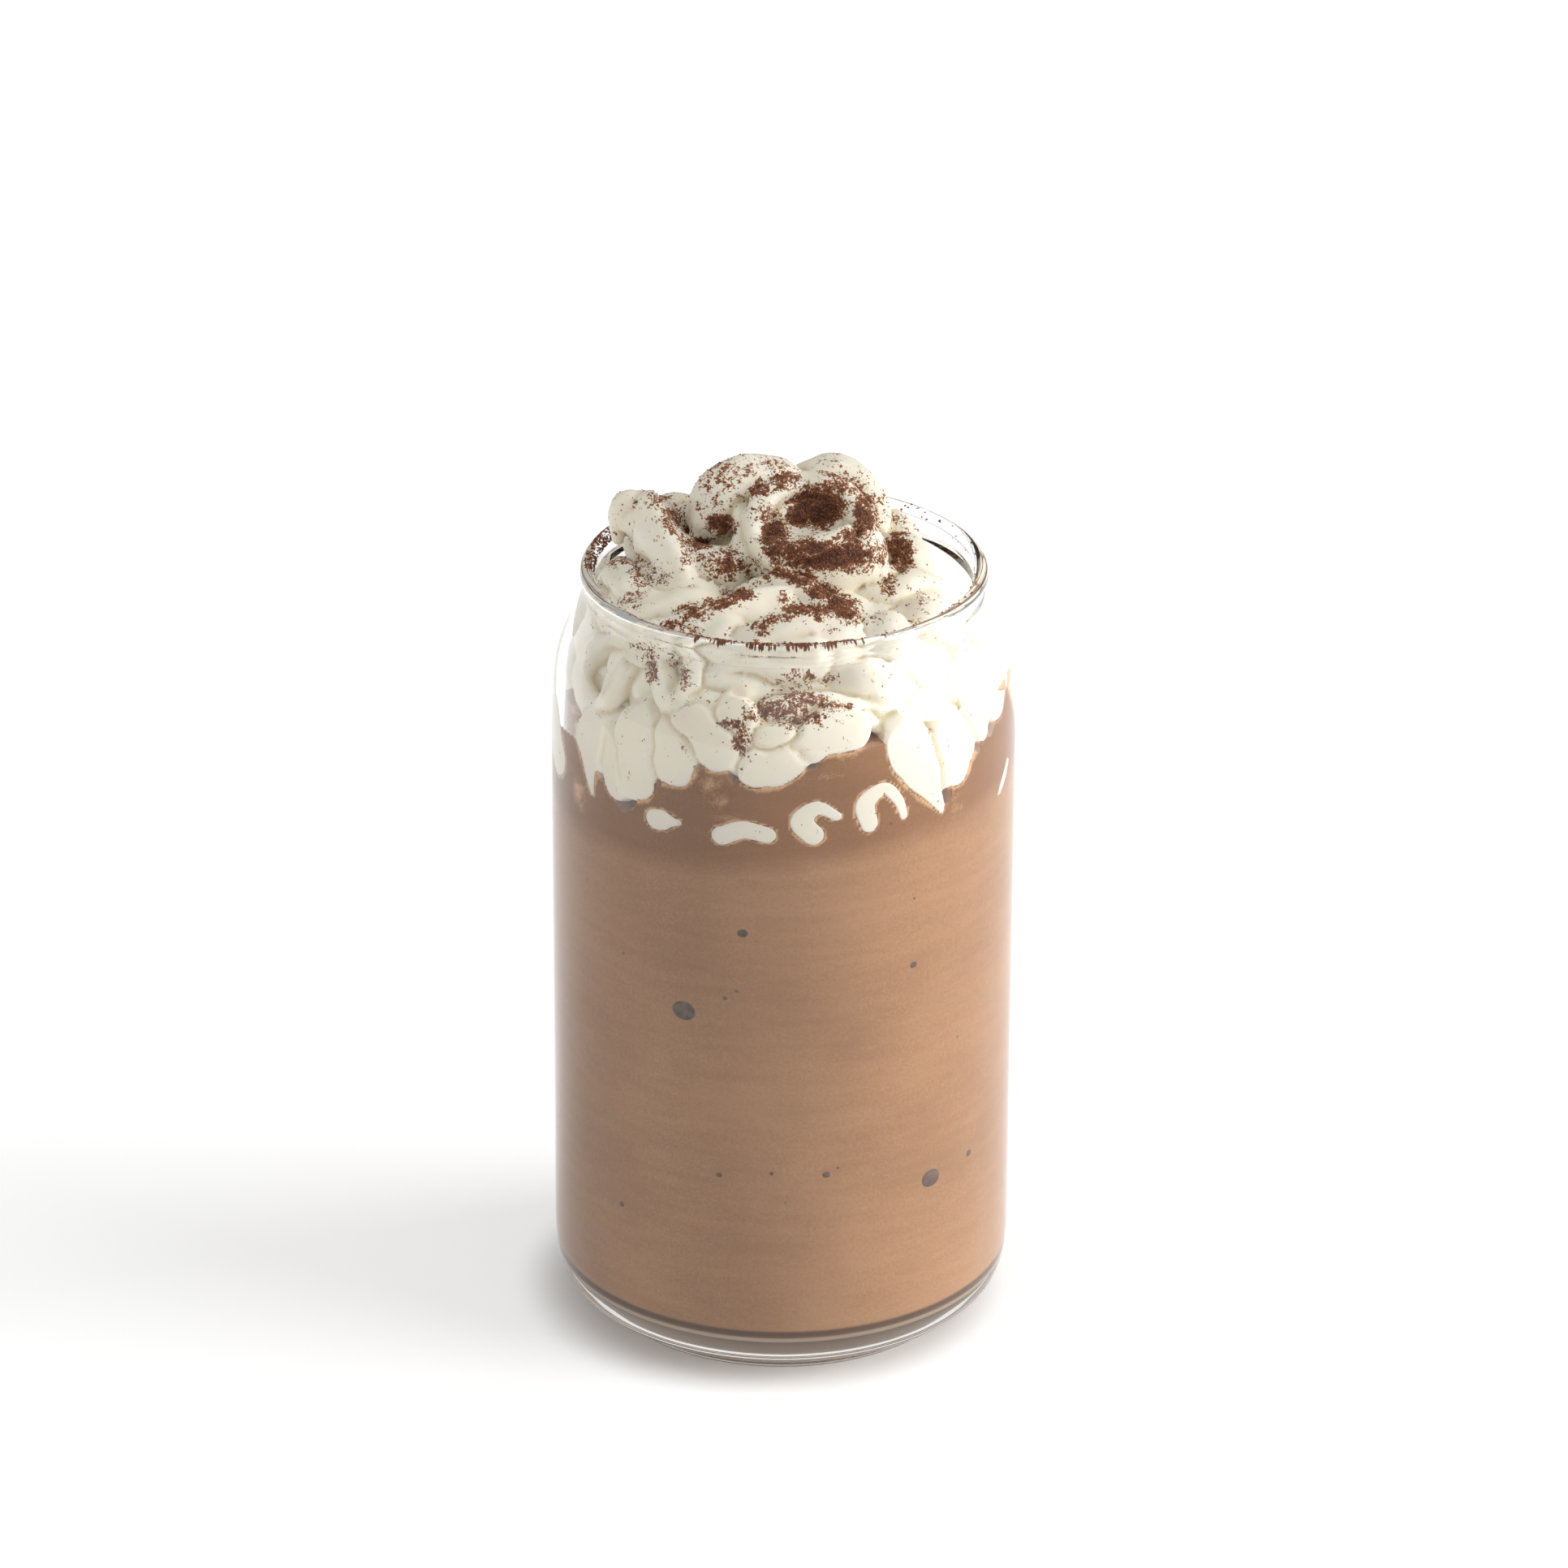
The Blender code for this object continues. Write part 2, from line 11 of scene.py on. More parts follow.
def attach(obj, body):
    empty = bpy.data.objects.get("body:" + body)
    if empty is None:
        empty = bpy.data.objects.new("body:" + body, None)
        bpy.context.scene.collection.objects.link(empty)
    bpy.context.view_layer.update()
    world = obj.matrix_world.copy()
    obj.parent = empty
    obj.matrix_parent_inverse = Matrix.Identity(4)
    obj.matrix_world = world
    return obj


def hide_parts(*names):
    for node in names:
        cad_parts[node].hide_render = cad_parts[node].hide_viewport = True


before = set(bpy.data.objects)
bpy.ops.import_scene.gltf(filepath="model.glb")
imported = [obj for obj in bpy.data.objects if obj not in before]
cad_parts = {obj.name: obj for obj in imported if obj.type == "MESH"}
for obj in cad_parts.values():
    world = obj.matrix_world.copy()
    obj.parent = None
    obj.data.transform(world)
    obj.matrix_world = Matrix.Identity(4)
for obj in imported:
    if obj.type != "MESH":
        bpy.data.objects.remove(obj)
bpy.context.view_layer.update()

MM = 0.001
rng = np.random.default_rng(7)

# Sizes, in millimetres, as in the part
BODY_RADIUS = 38.1
WALL = 1.9
GLASS_HEIGHT = 132.6
LIP_RADIUS = 1.15
LIP_CENTRE_R = 32.1
NECK_OUTER_R = 32.6
NECK_Z = 128.9
SHOULDER_START_Z = 103.0
FOOT_CORNER_Z = 12.5
FOOT_RADIUS = 30.4
FOOT_RING_INNER_R = 26.5
PUNT_RADIUS = 24.0
PUNT_HEIGHT = 1.6
FLOOR_Z = 8.0
FLOOR_CORNER = 2.2
DRINK_LEVEL = 115.2
CREAM_FLOOR_Z = 106.0
FLUTES = 5
FLUTE_DEPTH = 0.05
PRESS = 0.75
BACK_LOBES = 9
BACK_START = 80.0
BACK_END = 280.0

# How far the contents reach into the wall, so that no air gap shows
DRINK_INTO_WALL = 0.05
CREAM_INTO_WALL = 0.12

# Cream mesh: size of its voxels, division of its ropes, and its creases and crests
CREAM_VOXEL = 0.53
SUNK_VOXEL = 0.35
SOFTEN_ROUNDS = 2
ROPE_SIDES = 32
ROPE_STEPS = 12
ROPE_CAP_RINGS = 6
CREST_WIDTH = 0.42
CREASE_REACH = 1.1
CREASE_DEPTH = 0.85
CRUMPLE_DEPTH = 0.25
CRUMPLE_SIZE = 6.0
FAR = 99.0
# Scoop in the petal: its centre, radii and the way it opens
PETAL_SCOOP = ((4.2, -6.0, 143.6), (6.4, 4.6, 3.6), (0.05, -0.75, 0.65))
# Cream inside the heap: (top, radius) of two cylinders, and a rope of (x, y, z, radius) on them
CORE_CYLINDERS = [(115.5, 30.5), (121.0, 26.0)]
CORE_DOME = [(-3, -4, 118, 17.5), (-3, -2, 122, 14.0), (-3, 0, 130, 8.5)]

# Loose grains of cocoa on the cream: number, size in mm and size of the patches that they lie in
GRAIN_COUNT = 9000
GRAIN_SIZE = 0.17
GRAIN_PATCH = 1.6
# Cocoa that lies thinly all over, and more of it on the back
DUSTING = 0.08
DUSTING_BEHIND = 0.20

# Drink: height from which it is finely divided, its rows and steps, and where its level varies
DRINK_FINE_Z = 60.0
DRINK_ROWS = 120
DRINK_STEPS = 440
LEVEL_FROM_Z = 100.0
# Drink at the wall: its level round the glass, the film over the cream and the filled creases
LEVEL_AZIMUTHS = (-180, -95, -75, -50, -35, 60, 80, 100, 180)
LEVEL_HEIGHTS = (113.5, 112.5, 112.6, 113.4, 115.2, 115.2, 116.0, 114.5, 113.5)
FILM_DEPTH = 2.0
CREASE_FILL = 0.8
CREASE_PULL = 3.0
# Patches of thin, light drink at the wall: azimuth, height, half width, half height in mm, amount
FILM_PATCHES = [(-18.5, 109.5, 2.6, 2.2, 0.5), (-16, 106.5, 2.4, 2.6, 0.4), (-14, 104, 3.0, 1.2, 0.3),
                (-62, 99.5, 2.4, 3.5, 0.7), (12, 111.2, 3.0, 0.7, 0.4), (48, 101, 3.0, 3.0, 0.4)]
# Painted shade round the drink's bottom corner, a dark line, with a zone of painted light below it
PAINTED_SHADE_TOP = 10.7
PAINTED_SHADE_BOTTOM = 9.0
PAINTED_CORNER_RADIUS = 32.5

# Suns: name, azimuth from the front to the right, elevation, strength and spread; angles in degrees
SUNS = [("key_right", 84, 22, 2.65, 46), ("top_soft", -30, 70, 0.5, 110),
        ("fill_left", -68, 25, 0.48, 90)]

# Camera at the photograph's angle
CAMERA_LENS = 183.5
CAMERA_SENSOR = 36.0
CAMERA_PLACE = (0.0, -1.18822, 0.65786)
CAMERA_PITCH = math.radians(25.43)
CAMERA_ROLL = math.radians(0.282)
CAMERA_YAW = 0.0001
CAMERA_DISTANCE = 1.33
camera_forward = Vector((CAMERA_YAW, math.cos(CAMERA_PITCH), -math.sin(CAMERA_PITCH))).normalized()
flat_up = Vector((0.0, math.sin(CAMERA_PITCH), math.cos(CAMERA_PITCH)))
flat_right = camera_forward.cross(flat_up).normalized()
camera_right = flat_right * math.cos(CAMERA_ROLL) + flat_up * math.sin(CAMERA_ROLL)
CAMERA_AXES = (camera_right, camera_right.cross(camera_forward), camera_forward)

# Brightness of the studio's surroundings, and as seen through the glass
WORLD_STRENGTH = 0.28
WORLD_IN_GLASS = 0.85

# Light that has met more faces than this passes straight through the glass
GLASS_DEPTH = 5.5

# Painted light: the pale floor glows, by distance in metres from the glass's axis. A weaker glow under
# the glass lights its base; it fades out under the glass's foot, which paints a shadow round it, and
# comes back beside the glass
FLOOR_PAINTED_GLOW = 0.36
PAINTED_GLOW_UNDER = 0.32 * FLOOR_PAINTED_GLOW
PAINTED_GLOW_UNDER_ENDS = (0.022, 0.031)
PAINTED_GLOW_BESIDE_STARTS = (0.032, 0.043)
# Painted shadow: the ring round the foot is centred this far to the left
PAINTED_SHADOW_SHIFT = -0.003

# Gloss of the drink and its bubbles behind the glass, roughness of dry matter, streaks in the drink
LEAST_GLOSS = 0.1
MATT = 0.9
STREAK_SCALES = (70.0, 70.0, 520.0)

# Colours. Those with several stops are ramps of (position, colour).
GLASS_COLOUR = (0.985, 0.99, 0.99, 1.0)
DRINK_COLOURS = [(0.40, (0.345, 0.186, 0.096)), (0.5, (0.402, 0.223, 0.116)),
                 (0.60, (0.458, 0.261, 0.141))]
FOAM_COLOURS = [(0.36, (0.235, 0.112, 0.050)), (0.5, (0.285, 0.140, 0.064)),
                (0.64, (0.34, 0.175, 0.084))]
FILM_COLOUR = (0.70, 0.44, 0.245)
# Painted light on the lowest part of the drink's bottom corner, and painted shade in a dark line above it
PAINTED_LIGHT_COLOUR = (0.47, 0.385, 0.30)
PAINTED_SHADE_COLOUR = (0.11, 0.064, 0.042)
BUBBLE_COLOURS = [(0.3, (0.095, 0.072, 0.060)), (0.7, (0.19, 0.130, 0.098))]
CREAM_COLOURS = [(0.3, (0.875, 0.81, 0.665)), (0.7, (0.905, 0.855, 0.735))]
# Painted shade in the cream's creases, warm as light bounced inside them
CREASE_SHADE_COLOUR = (0.80, 0.70, 0.48)
COCOA_COLOURS = [(0.33, (0.56, 0.265, 0.115)), (0.43, (0.31, 0.118, 0.050)),
                 (0.53, (0.15, 0.054, 0.026)), (0.68, (0.060, 0.023, 0.013))]
GRAIN_COLOURS = [(0.35, (0.12, 0.040, 0.018)), (0.65, (0.36, 0.135, 0.055))]
FLOOR_COLOURS = [(0.3, (0.985, 0.985, 0.985)), (0.7, (0.99, 0.99, 0.99))]

# Patches of cocoa as seen from the front: right, up, half width, half height in mm, density
COCOA_PATCHES = [
    # petal: its scoop, the band below it and its rim
    (5.4, 46, 4, 3.2, 1.25), (3.2, 44.4, 2.8, 1.8, 1.1), (7, 38, 9, 2.6, 1.15),
    (-1.6, 41, 2.4, 4, 1), (-3, 44.5, 1.2, 2.5, 0.7), (13.4, 44.5, 2, 3.8, 0.95),
    (11.5, 41, 2, 1.6, 0.9), (10, 49.5, 4.5, 1.5, 0.75), (-4, 49, 2.5, 1.5, 0.8),
    (0, 50.5, 3, 1.5, 0.8), (-3.5, 45, 2.5, 2, 0.6),
    # crest at the top and the hollow in front of it
    (-10.5, 43, 2.5, 2, 0.95), (-11, 47, 2, 1.5, 0.6), (-9, 51.5, 4.5, 2.5, 0.5),
    (-12.5, 46.5, 2.5, 3, 0.42), (-9.5, 48, 3, 2, 0.4), (-2, 53.5, 4, 2, 0.42),
    (-13, 49, 2, 2.5, 0.45), (8.5, 52, 3, 2, 0.45), (12.5, 49.5, 1.5, 2, 0.45),
    # left lobe, knob and mound
    (-21, 48, 2, 2, 0.65), (-18.5, 44, 2, 2.5, 0.6), (-16.5, 41, 1.5, 1.5, 0.6),
    (-24, 46.5, 2, 1, 0.4), (-24, 35, 2, 3, 0.5), (-21, 34.5, 2, 1.5, 0.5), (-26, 31, 2, 1.5, 0.42),
    (-28.5, 37.5, 2.5, 1.5, 0.55), (-27.5, 44, 1, 2, 0.3), (-17.5, 45.5, 2, 1.5, 0.5),
    (-16.5, 42.5, 2, 1.5, 0.5),
    # band below the crest
    (-14, 40, 2, 1, 0.95), (-9.5, 36.5, 4, 2.5, 0.72), (-5.5, 36, 2.5, 2, 0.6),
    (-15, 38, 2.5, 1.5, 0.5),
    # ridges in front
    (-15.5, 28.5, 3, 1.5, 0.72), (-11, 30, 3, 1, 0.8), (-7, 31.5, 3, 1, 0.8),
    (-19, 26.5, 2.5, 1, 0.6), (0, 35, 2.5, 1, 0.85), (3, 34.5, 2.5, 1.5, 0.95),
    (6.5, 32, 2.5, 1.5, 0.98), (9.5, 30, 2.5, 1.5, 1), (-3.5, 34.5, 2, 1, 0.7),
    (1, 31, 2, 1.5, 0.4), (2.5, 29, 3, 1, 0.85), (6.5, 29, 2.5, 1, 0.85), (10.5, 28.5, 2.5, 1, 0.9),
    (-3.5, 26, 2, 1.5, 0.6), (-1, 27.5, 2, 1, 0.7), (0.5, 28, 1.5, 1, 0.6), (6.5, 28, 1.5, 1, 0.6),
    (9, 25.5, 2, 0.5, 0.35), (-2, 23, 4.5, 0.6, 0.75), (-16.5, 26, 2.5, 1.5, 0.55),
    # right lobes
    (19, 39.5, 2.5, 2.5, 0.85), (19.5, 36.5, 2, 1.5, 0.7), (17.5, 33, 1.5, 2, 0.65),
    (23, 30, 1.5, 2, 0.45), (16, 28, 2, 1, 0.35), (26, 36, 2.5, 2, 0.3), (17.5, 44, 2, 1.5, 0.4),
    (12.5, 27, 5.5, 1, 0.3),
    # bent fold, ledge and small knob behind the shoulder of the glass
    (-21.5, 19.5, 1, 2.5, 0.72), (-21, 22.5, 1.5, 1.5, 0.5), (-18, 21, 1, 1.5, 0.65),
    (-16, 17.5, 1, 3, 0.62), (-24, 23, 1.5, 1, 0.4), (-1, 12.5, 4.5, 2, 0.78),
    (3, 14, 4, 1.5, 0.68), (-4, 11.5, 2.5, 1.5, 0.7), (2.5, 11, 4, 1.5, 0.75), (8.5, 13, 2, 1, 0.6),
    (7.5, 17.5, 2, 1.5, 0.4), (2.5, 17.5, 4, 1.5, 0.68), (10.5, 13, 1, 0.6, 0.6),
    (-8.5, 10, 2, 1, 0.9), (-7, 7.5, 1.5, 2, 0.8),
]

# Cocoa on the rim: azimuth, half width in degrees, number of grains
RIM_PATCHES = [(-18, 4, 90), (-9, 3, 60), (-4.5, 2, 60), (4.5, 5, 160), (15.5, 5, 90), (-26, 4, 40),
               (-110, 14, 260), (-92, 8, 90), (-130, 10, 70), (60, 25, 40), (0, 60, 120), (180, 90, 160)]

# Air bubbles at the wall: azimuth, height, radius
WALL_BUBBLES = [
    (-10, 83.5, 0.7), (35, 75, 0.6), (-25.5, 68, 1.5), (-14.5, 71.5, 0.42), (-11.5, 73, 0.38),
    (-16, 39, 0.5), (-2.5, 40, 0.4), (11.5, 39.5, 0.6), (14.5, 40.5, 0.35), (14.5, 39, 0.3),
    (41.5, 34.5, 1.4), (56, 35.5, 0.6), (-45, 28.5, 0.5), (-44, 75, 0.35),
    (50.5, 58.5, 0.35), (35, 87, 0.35), (-23, 108.5, 0.3), (-30, 106, 0.3), (28, 101.5, 0.35),
]
SMALL_BUBBLES = 170
# A bubble is this much wider than high, this thin, and this much larger than its radius
BUBBLE_SHAPE = (1.15, 0.10, 1.0, 1.0)
BUBBLE_GROWTH = 1.15

# Single grains of cocoa on the cream at the wall: azimuth, height, radius
WALL_GRAINS = [
    (-15.5, 116.5, 0.28), (-10.5, 112.5, 0.28), (-10.5, 116, 0.2), (-11, 115, 0.18), (8, 119, 0.22),
    (11.5, 119, 0.2), (36, 113.5, 0.25), (20, 121, 0.2), (17, 120.5, 0.2), (-6.5, 114.5, 0.12),
    (-23, 119, 0.15), (-58.5, 116, 0.15), (-14.5, 118.5, 0.18), (2, 121.5, 0.2),
]


# Helpers

def catmull_rom(points, per_span):
    """Smooth path through the control points, with per_span samples between two of them."""
    pts = np.array(points, dtype=float)
    padded = np.vstack([2 * pts[0] - pts[1], pts, 2 * pts[-1] - pts[-2]])
    path = []
    for i in range(1, len(padded) - 2):
        a, b, c, d = padded[i - 1:i + 3]
        for k in range(per_span):
            t = k / per_span
            path.append(0.5 * (2 * b + (c - a) * t + (2 * a - 5 * b + 4 * c - d) * t * t
                               + (3 * b - a - 3 * c + d) * t ** 3))
    path.append(pts[-1])
    return np.array(path)


def arc(centre_r, centre_z, radius, start, end, count):
    """Points on an arc in the profile plane, angles in degrees."""
    angles = np.radians(np.linspace(start, end, count))
    return [(centre_r + radius * math.cos(a), centre_z + radius * math.sin(a)) for a in angles]


def new_piece(name, mesh):
    made = bpy.data.objects.new(name, mesh)
    bpy.context.scene.collection.objects.link(made)
    return made


def mesh_from(name, verts, faces):
    mesh = bpy.data.meshes.new(name)
    mesh.from_pydata([tuple(v) for v in verts], [], [tuple(f) for f in faces])
    mesh.shade_smooth()
    return mesh


def mark(mesh, name, values):
    """Keeps one number for each vertex under a name that the materials read."""
    mesh.attributes.new(name, "FLOAT", "POINT").data.foreach_set("value", values)


def tube_faces(rings, sides, start=0):
    """Faces between rings of vertices that follow each other in a mesh."""
    faces = []
    for i in range(rings - 1):
        for j in range(sides):
            k = (j + 1) % sides
            a = start + i * sides
            faces.append((a + j, a + k, a + sides + k, a + sides + j))
    return faces


def lathe(name, profile, steps):
    """A turned mesh from a profile of (radius, height) in mm that starts and ends on the axis."""
    inner = profile[1:-1]
    angles = np.arange(steps) * 2 * math.pi / steps
    verts = [(0.0, 0.0, profile[0][1] * MM), (0.0, 0.0, profile[-1][1] * MM)]
    for r, z in inner:
        verts.extend(zip(r * MM * np.cos(angles), r * MM * np.sin(angles), np.full(steps, z * MM)))
    faces = tube_faces(len(inner), steps, 2)
    last = 2 + (len(inner) - 1) * steps
    for j in range(steps):
        k = (j + 1) % steps
        faces += [(0, 2 + k, 2 + j), (1, last + j, last + k)]
    mesh = mesh_from(name, verts, faces)
    bm = bmesh.new()
    bm.from_mesh(mesh)
    bmesh.ops.recalc_face_normals(bm, faces=bm.faces)
    bm.to_mesh(mesh)
    bm.free()
    return mesh


def shoulder_outer():
    keys = [(NECK_OUTER_R, NECK_Z), (32.95, 127.6), (34.0, 125.0), (35.3, 122.0), (36.6, 118.7),
            (37.4, 115.5), (37.85, 111.0), (BODY_RADIUS, SHOULDER_START_Z)]
    return catmull_rom(keys, 7)


def shoulder_inner():
    outer = shoulder_outer()
    slope = np.gradient(outer, axis=0)
    slope /= np.linalg.norm(slope, axis=1)[:, None]
    inner = outer + WALL * np.column_stack([slope[:, 1], -slope[:, 0]])
    inner[:, 0] = np.maximum(inner[:, 0], LIP_CENTRE_R - LIP_RADIUS)
    inner[0] = (LIP_CENTRE_R - LIP_RADIUS, NECK_Z)
    inner[-1] = (BODY_RADIUS - WALL, SHOULDER_START_Z)
    return inner


INNER_SHOULDER = shoulder_inner()[::-1]


def wall_radius(z):
    """Inner radius of the glass at height z."""
    return np.interp(z, INNER_SHOULDER[:, 1], INNER_SHOULDER[:, 0])


def inner_side():
    corner = arc(BODY_RADIUS - WALL - FLOOR_CORNER, FLOOR_Z + FLOOR_CORNER, FLOOR_CORNER, -90, 0, 9)
    return [(0.0, FLOOR_Z)] + corner + [tuple(p) for p in INNER_SHOULDER]


# Materials

class Nodes:
    """Short hand for building a node material."""

    def __init__(self, name):
        self.material = bpy.data.materials.new(name)
        self.material.use_nodes = True
        self.tree = self.material.node_tree
        self.shader = self.tree.nodes["Principled BSDF"]
        self.coords = self.tree.nodes.new("ShaderNodeTexCoord").outputs["Object"]

    def fill(self, inputs, values):
        """Sets inputs, by name or number, to a plain value or from another node's output."""
        for key, value in values.items():
            if isinstance(value, bpy.types.NodeSocket):
                self.tree.links.new(value, inputs[key])
            else:
                inputs[key].default_value = value

    def shade(self, **values):
        """Sets the shader's inputs, whose names are written with _ for a space."""
        self.fill(self.shader.inputs, {key.replace("_", " "): v for key, v in values.items()})

    def noise(self, scale, detail=3.0, roughness=0.55, distortion=0.0, vector=None):
        made = self.tree.nodes.new("ShaderNodeTexNoise")
        self.fill(made.inputs, {"Scale": scale, "Detail": detail, "Roughness": roughness,
                                "Distortion": distortion,
                                "Vector": self.coords if vector is None else vector})
        return made.outputs["Fac"]

    def math(self, operation, a, b):
        made = self.tree.nodes.new("ShaderNodeMath")
        made.operation = operation
        self.fill(made.inputs, {0: a, 1: b})
        return made.outputs[0]

    def times(self, a, b):
        return self.math("MULTIPLY", a, b)

    def plus(self, a, b):
        return self.math("ADD", a, b)

    def around_zero(self, value, middle, amount):
        """Value less its middle, times an amount."""
        return self.times(self.math("SUBTRACT", value, middle), amount)

    def vector_math(self, operation, values):
        made = self.tree.nodes.new("ShaderNodeVectorMath")
        made.operation = operation
        self.fill(made.inputs, values)
        return made.outputs

    def ramp(self, value, stops):
        """A colour ramp of (position, colour) stops."""
        made = self.tree.nodes.new("ShaderNodeValToRGB")
        elements = made.color_ramp.elements
        while len(elements) < len(stops):
            elements.new(0.5)
        for element, (position, colour) in zip(elements, stops):
            element.position = position
            element.color = (*colour, 1.0)
        self.fill(made.inputs, {"Fac": value})
        return made.outputs["Color"]

    def span(self, value, low, high, to_low=0.0, to_high=1.0):
        """Value mapped from one range to another, smoothly and clamped."""
        made = self.tree.nodes.new("ShaderNodeMapRange")
        made.interpolation_type = "SMOOTHSTEP"
        self.fill(made.inputs, {"From Min": low, "From Max": high, "To Min": to_low,
                                "To Max": to_high, "Value": value})
        return made.outputs["Result"]

    def mix(self, factor, first, colour):
        """First changed towards a plain colour, or towards another node's colour, by a factor."""
        made = self.tree.nodes.new("ShaderNodeMix")
        made.data_type = "RGBA"
        sockets = [s for s in made.inputs if s.type == "RGBA"]
        second = (*colour, 1.0) if isinstance(colour, tuple) else colour
        self.fill(made.inputs, {0: factor})
        self.fill(sockets, {0: first, 1: second})
        return [s for s in made.outputs if s.type == "RGBA"][0]

    def mix_shaders(self, factor, first, second):
        made = self.tree.nodes.new("ShaderNodeMixShader")
        self.fill(made.inputs, {0: factor, 1: first, 2: second})
        return made.outputs[0]

    def attribute(self, name):
        made = self.tree.nodes.new("ShaderNodeAttribute")
        made.attribute_name = name
        return made.outputs["Fac"]

    def bump(self, height, strength, distance):
        made = self.tree.nodes.new("ShaderNodeBump")
        self.fill(made.inputs, {"Strength": strength, "Distance": distance, "Height": height})
        self.shade(Normal=made.outputs["Normal"])


def glass_material():
    """Clear glass. Shadow rays pass straight on, and so does light that has met GLASS_DEPTH faces."""
    n = Nodes("clear_glass")
    n.shade(Base_Color=GLASS_COLOUR, Transmission_Weight=1.0, IOR=1.5)
    path = n.tree.nodes.new("ShaderNodeLightPath").outputs
    clear = n.tree.nodes.new("ShaderNodeBsdfTransparent").outputs["BSDF"]
    surface = n.shader.outputs["BSDF"]
    deep = n.math("GREATER_THAN", path["Ray Depth"], GLASS_DEPTH)
    spent = n.mix_shaders(deep, surface, clear)
    for kind in ("Is Reflection Ray", "Is Transmission Ray", "Is Diffuse Ray"):
        surface = n.mix_shaders(path[kind], surface, spent)
    surface = n.mix_shaders(path["Is Shadow Ray"], surface, clear)
    n.fill(n.tree.nodes["Material Output"].inputs, {"Surface": surface})
    n.shade(Roughness=n.span(n.noise(120.0, 2.0), 0.45, 0.75, 0.0, 0.03))
    n.bump(n.noise(45.0, 1.0), 0.03, 0.0004)
    return n.material


def drink_material():
    n = Nodes("chocolate_milkshake")
    speckle = n.noise(2600.0, 2.0, 0.7)
    drift = n.noise(38.0, 3.0, 0.5)
    stretched = n.vector_math("MULTIPLY", {0: n.coords, 1: STREAK_SCALES})[0]
    streaks = n.noise(1.0, 3.0, 0.6, 0.3, stretched)
    value = n.plus(n.times(speckle, 0.45), n.times(drift, 0.35))
    value = n.plus(value, n.times(streaks, 0.2))
    drink = n.mix(n.attribute("foam"), n.ramp(value, DRINK_COLOURS), n.ramp(value, FOAM_COLOURS))
    edge = n.plus(n.attribute("thin"), n.around_zero(speckle, 0.5, 0.6))
    edge = n.plus(edge, n.around_zero(n.noise(330.0, 3.0, 0.6, 0.6), 0.55, 1.3))
    drink = n.mix(n.span(edge, 0.15, 1.0), drink, FILM_COLOUR)
    # Painted light on the lowest part of the drink's bottom corner, and painted shade in a dark line
    # above it
    drink = n.mix(n.attribute("painted_base_light"), drink, PAINTED_LIGHT_COLOUR)
    drink = n.mix(n.attribute("shade"), drink, PAINTED_SHADE_COLOUR)
    n.shade(Base_Color=drink, Roughness=n.span(drift, 0.3, 0.7, 0.42, 0.52),
            Specular_IOR_Level=LEAST_GLOSS, Subsurface_Weight=0.15,
            Subsurface_Radius=(1.0, 0.55, 0.3), Subsurface_Scale=0.0015)
    n.bump(speckle, 0.03, 0.00005)
    return n.material


def bubble_material():
    n = Nodes("air_bubbles")
    tone = n.noise(900.0, 2.0)
    n.shade(Base_Color=n.ramp(tone, BUBBLE_COLOURS), Roughness=n.span(tone, 0.3, 0.7, 0.3, 0.45),
            Specular_IOR_Level=LEAST_GLOSS)
    n.bump(n.noise(1500.0, 1.0), 0.1, 0.00005)
    return n.material


def cream_material():
    n = Nodes("whipped_cream")
    white = n.ramp(n.noise(55.0, 2.0), CREAM_COLOURS)
    # Painted shade: the cream turns darker and warmer in its creases
    white = n.mix(n.span(n.attribute("painted_crease_shade"), 0.05, 0.9), white, CREASE_SHADE_COLOUR)
    patches = n.noise(420.0, 3.0, 0.6, 0.4)
    clumps = n.noise(1250.0, 3.0, 0.65)
    grain = n.noise(2700.0, 2.0, 0.6)
    total = n.attribute("cocoa")
    for texture, amount in ((patches, 1.7), (clumps, 1.6), (grain, 1.7)):
        total = n.plus(total, n.around_zero(texture, 0.5, amount))
    cover = n.span(total, 0.52, 0.66)
    flecks = n.plus(n.times(total, 0.32), n.times(n.noise(3300.0, 1.0), 0.4))
    n.shade(Base_Color=n.mix(cover, white, n.ramp(flecks, COCOA_COLOURS)),
            Roughness=n.span(cover, 0.0, 1.0, 0.42, 0.9), Subsurface_Weight=0.5,
            Subsurface_Radius=(1.0, 0.75, 0.45), Subsurface_Scale=0.0025)
    powder = n.times(cover, n.span(grain, 0.2, 0.8, 0.6, 1.2))
    n.bump(n.plus(powder, n.times(n.noise(240.0, 2.0), 0.25)), 0.6, 0.00025)
    return n.material


def cocoa_material():
    n = Nodes("cocoa_powder")
    n.shade(Base_Color=n.ramp(n.noise(2400.0, 2.0), GRAIN_COLOURS), Roughness=MATT)
    n.bump(n.noise(5200.0, 1.0), 0.4, 0.00008)
    return n.material


def floor_material():
    n = Nodes("studio_floor")
    n.shade(Base_Color=n.ramp(n.noise(3.0, 1.0), FLOOR_COLOURS), Roughness=MATT,
            Specular_IOR_Level=0.0, Emission_Color=(1.0, 1.0, 1.0, 1.0))
    # Painted light under the glass, and a painted shadow ring round its foot where the glow fades out
    offset = n.vector_math("SUBTRACT", {0: n.coords, 1: (PAINTED_SHADOW_SHIFT, 0.0, 0.0)})[0]
    away = n.vector_math("LENGTH", {0: offset})["Value"]
    under = n.span(away, *PAINTED_GLOW_UNDER_ENDS, PAINTED_GLOW_UNDER, 0.0)
    beside = n.span(away, *PAINTED_GLOW_BESIDE_STARTS, 0.0, FLOOR_PAINTED_GLOW)
    n.shade(Emission_Strength=n.plus(under, beside))
    return n.material


# Glass

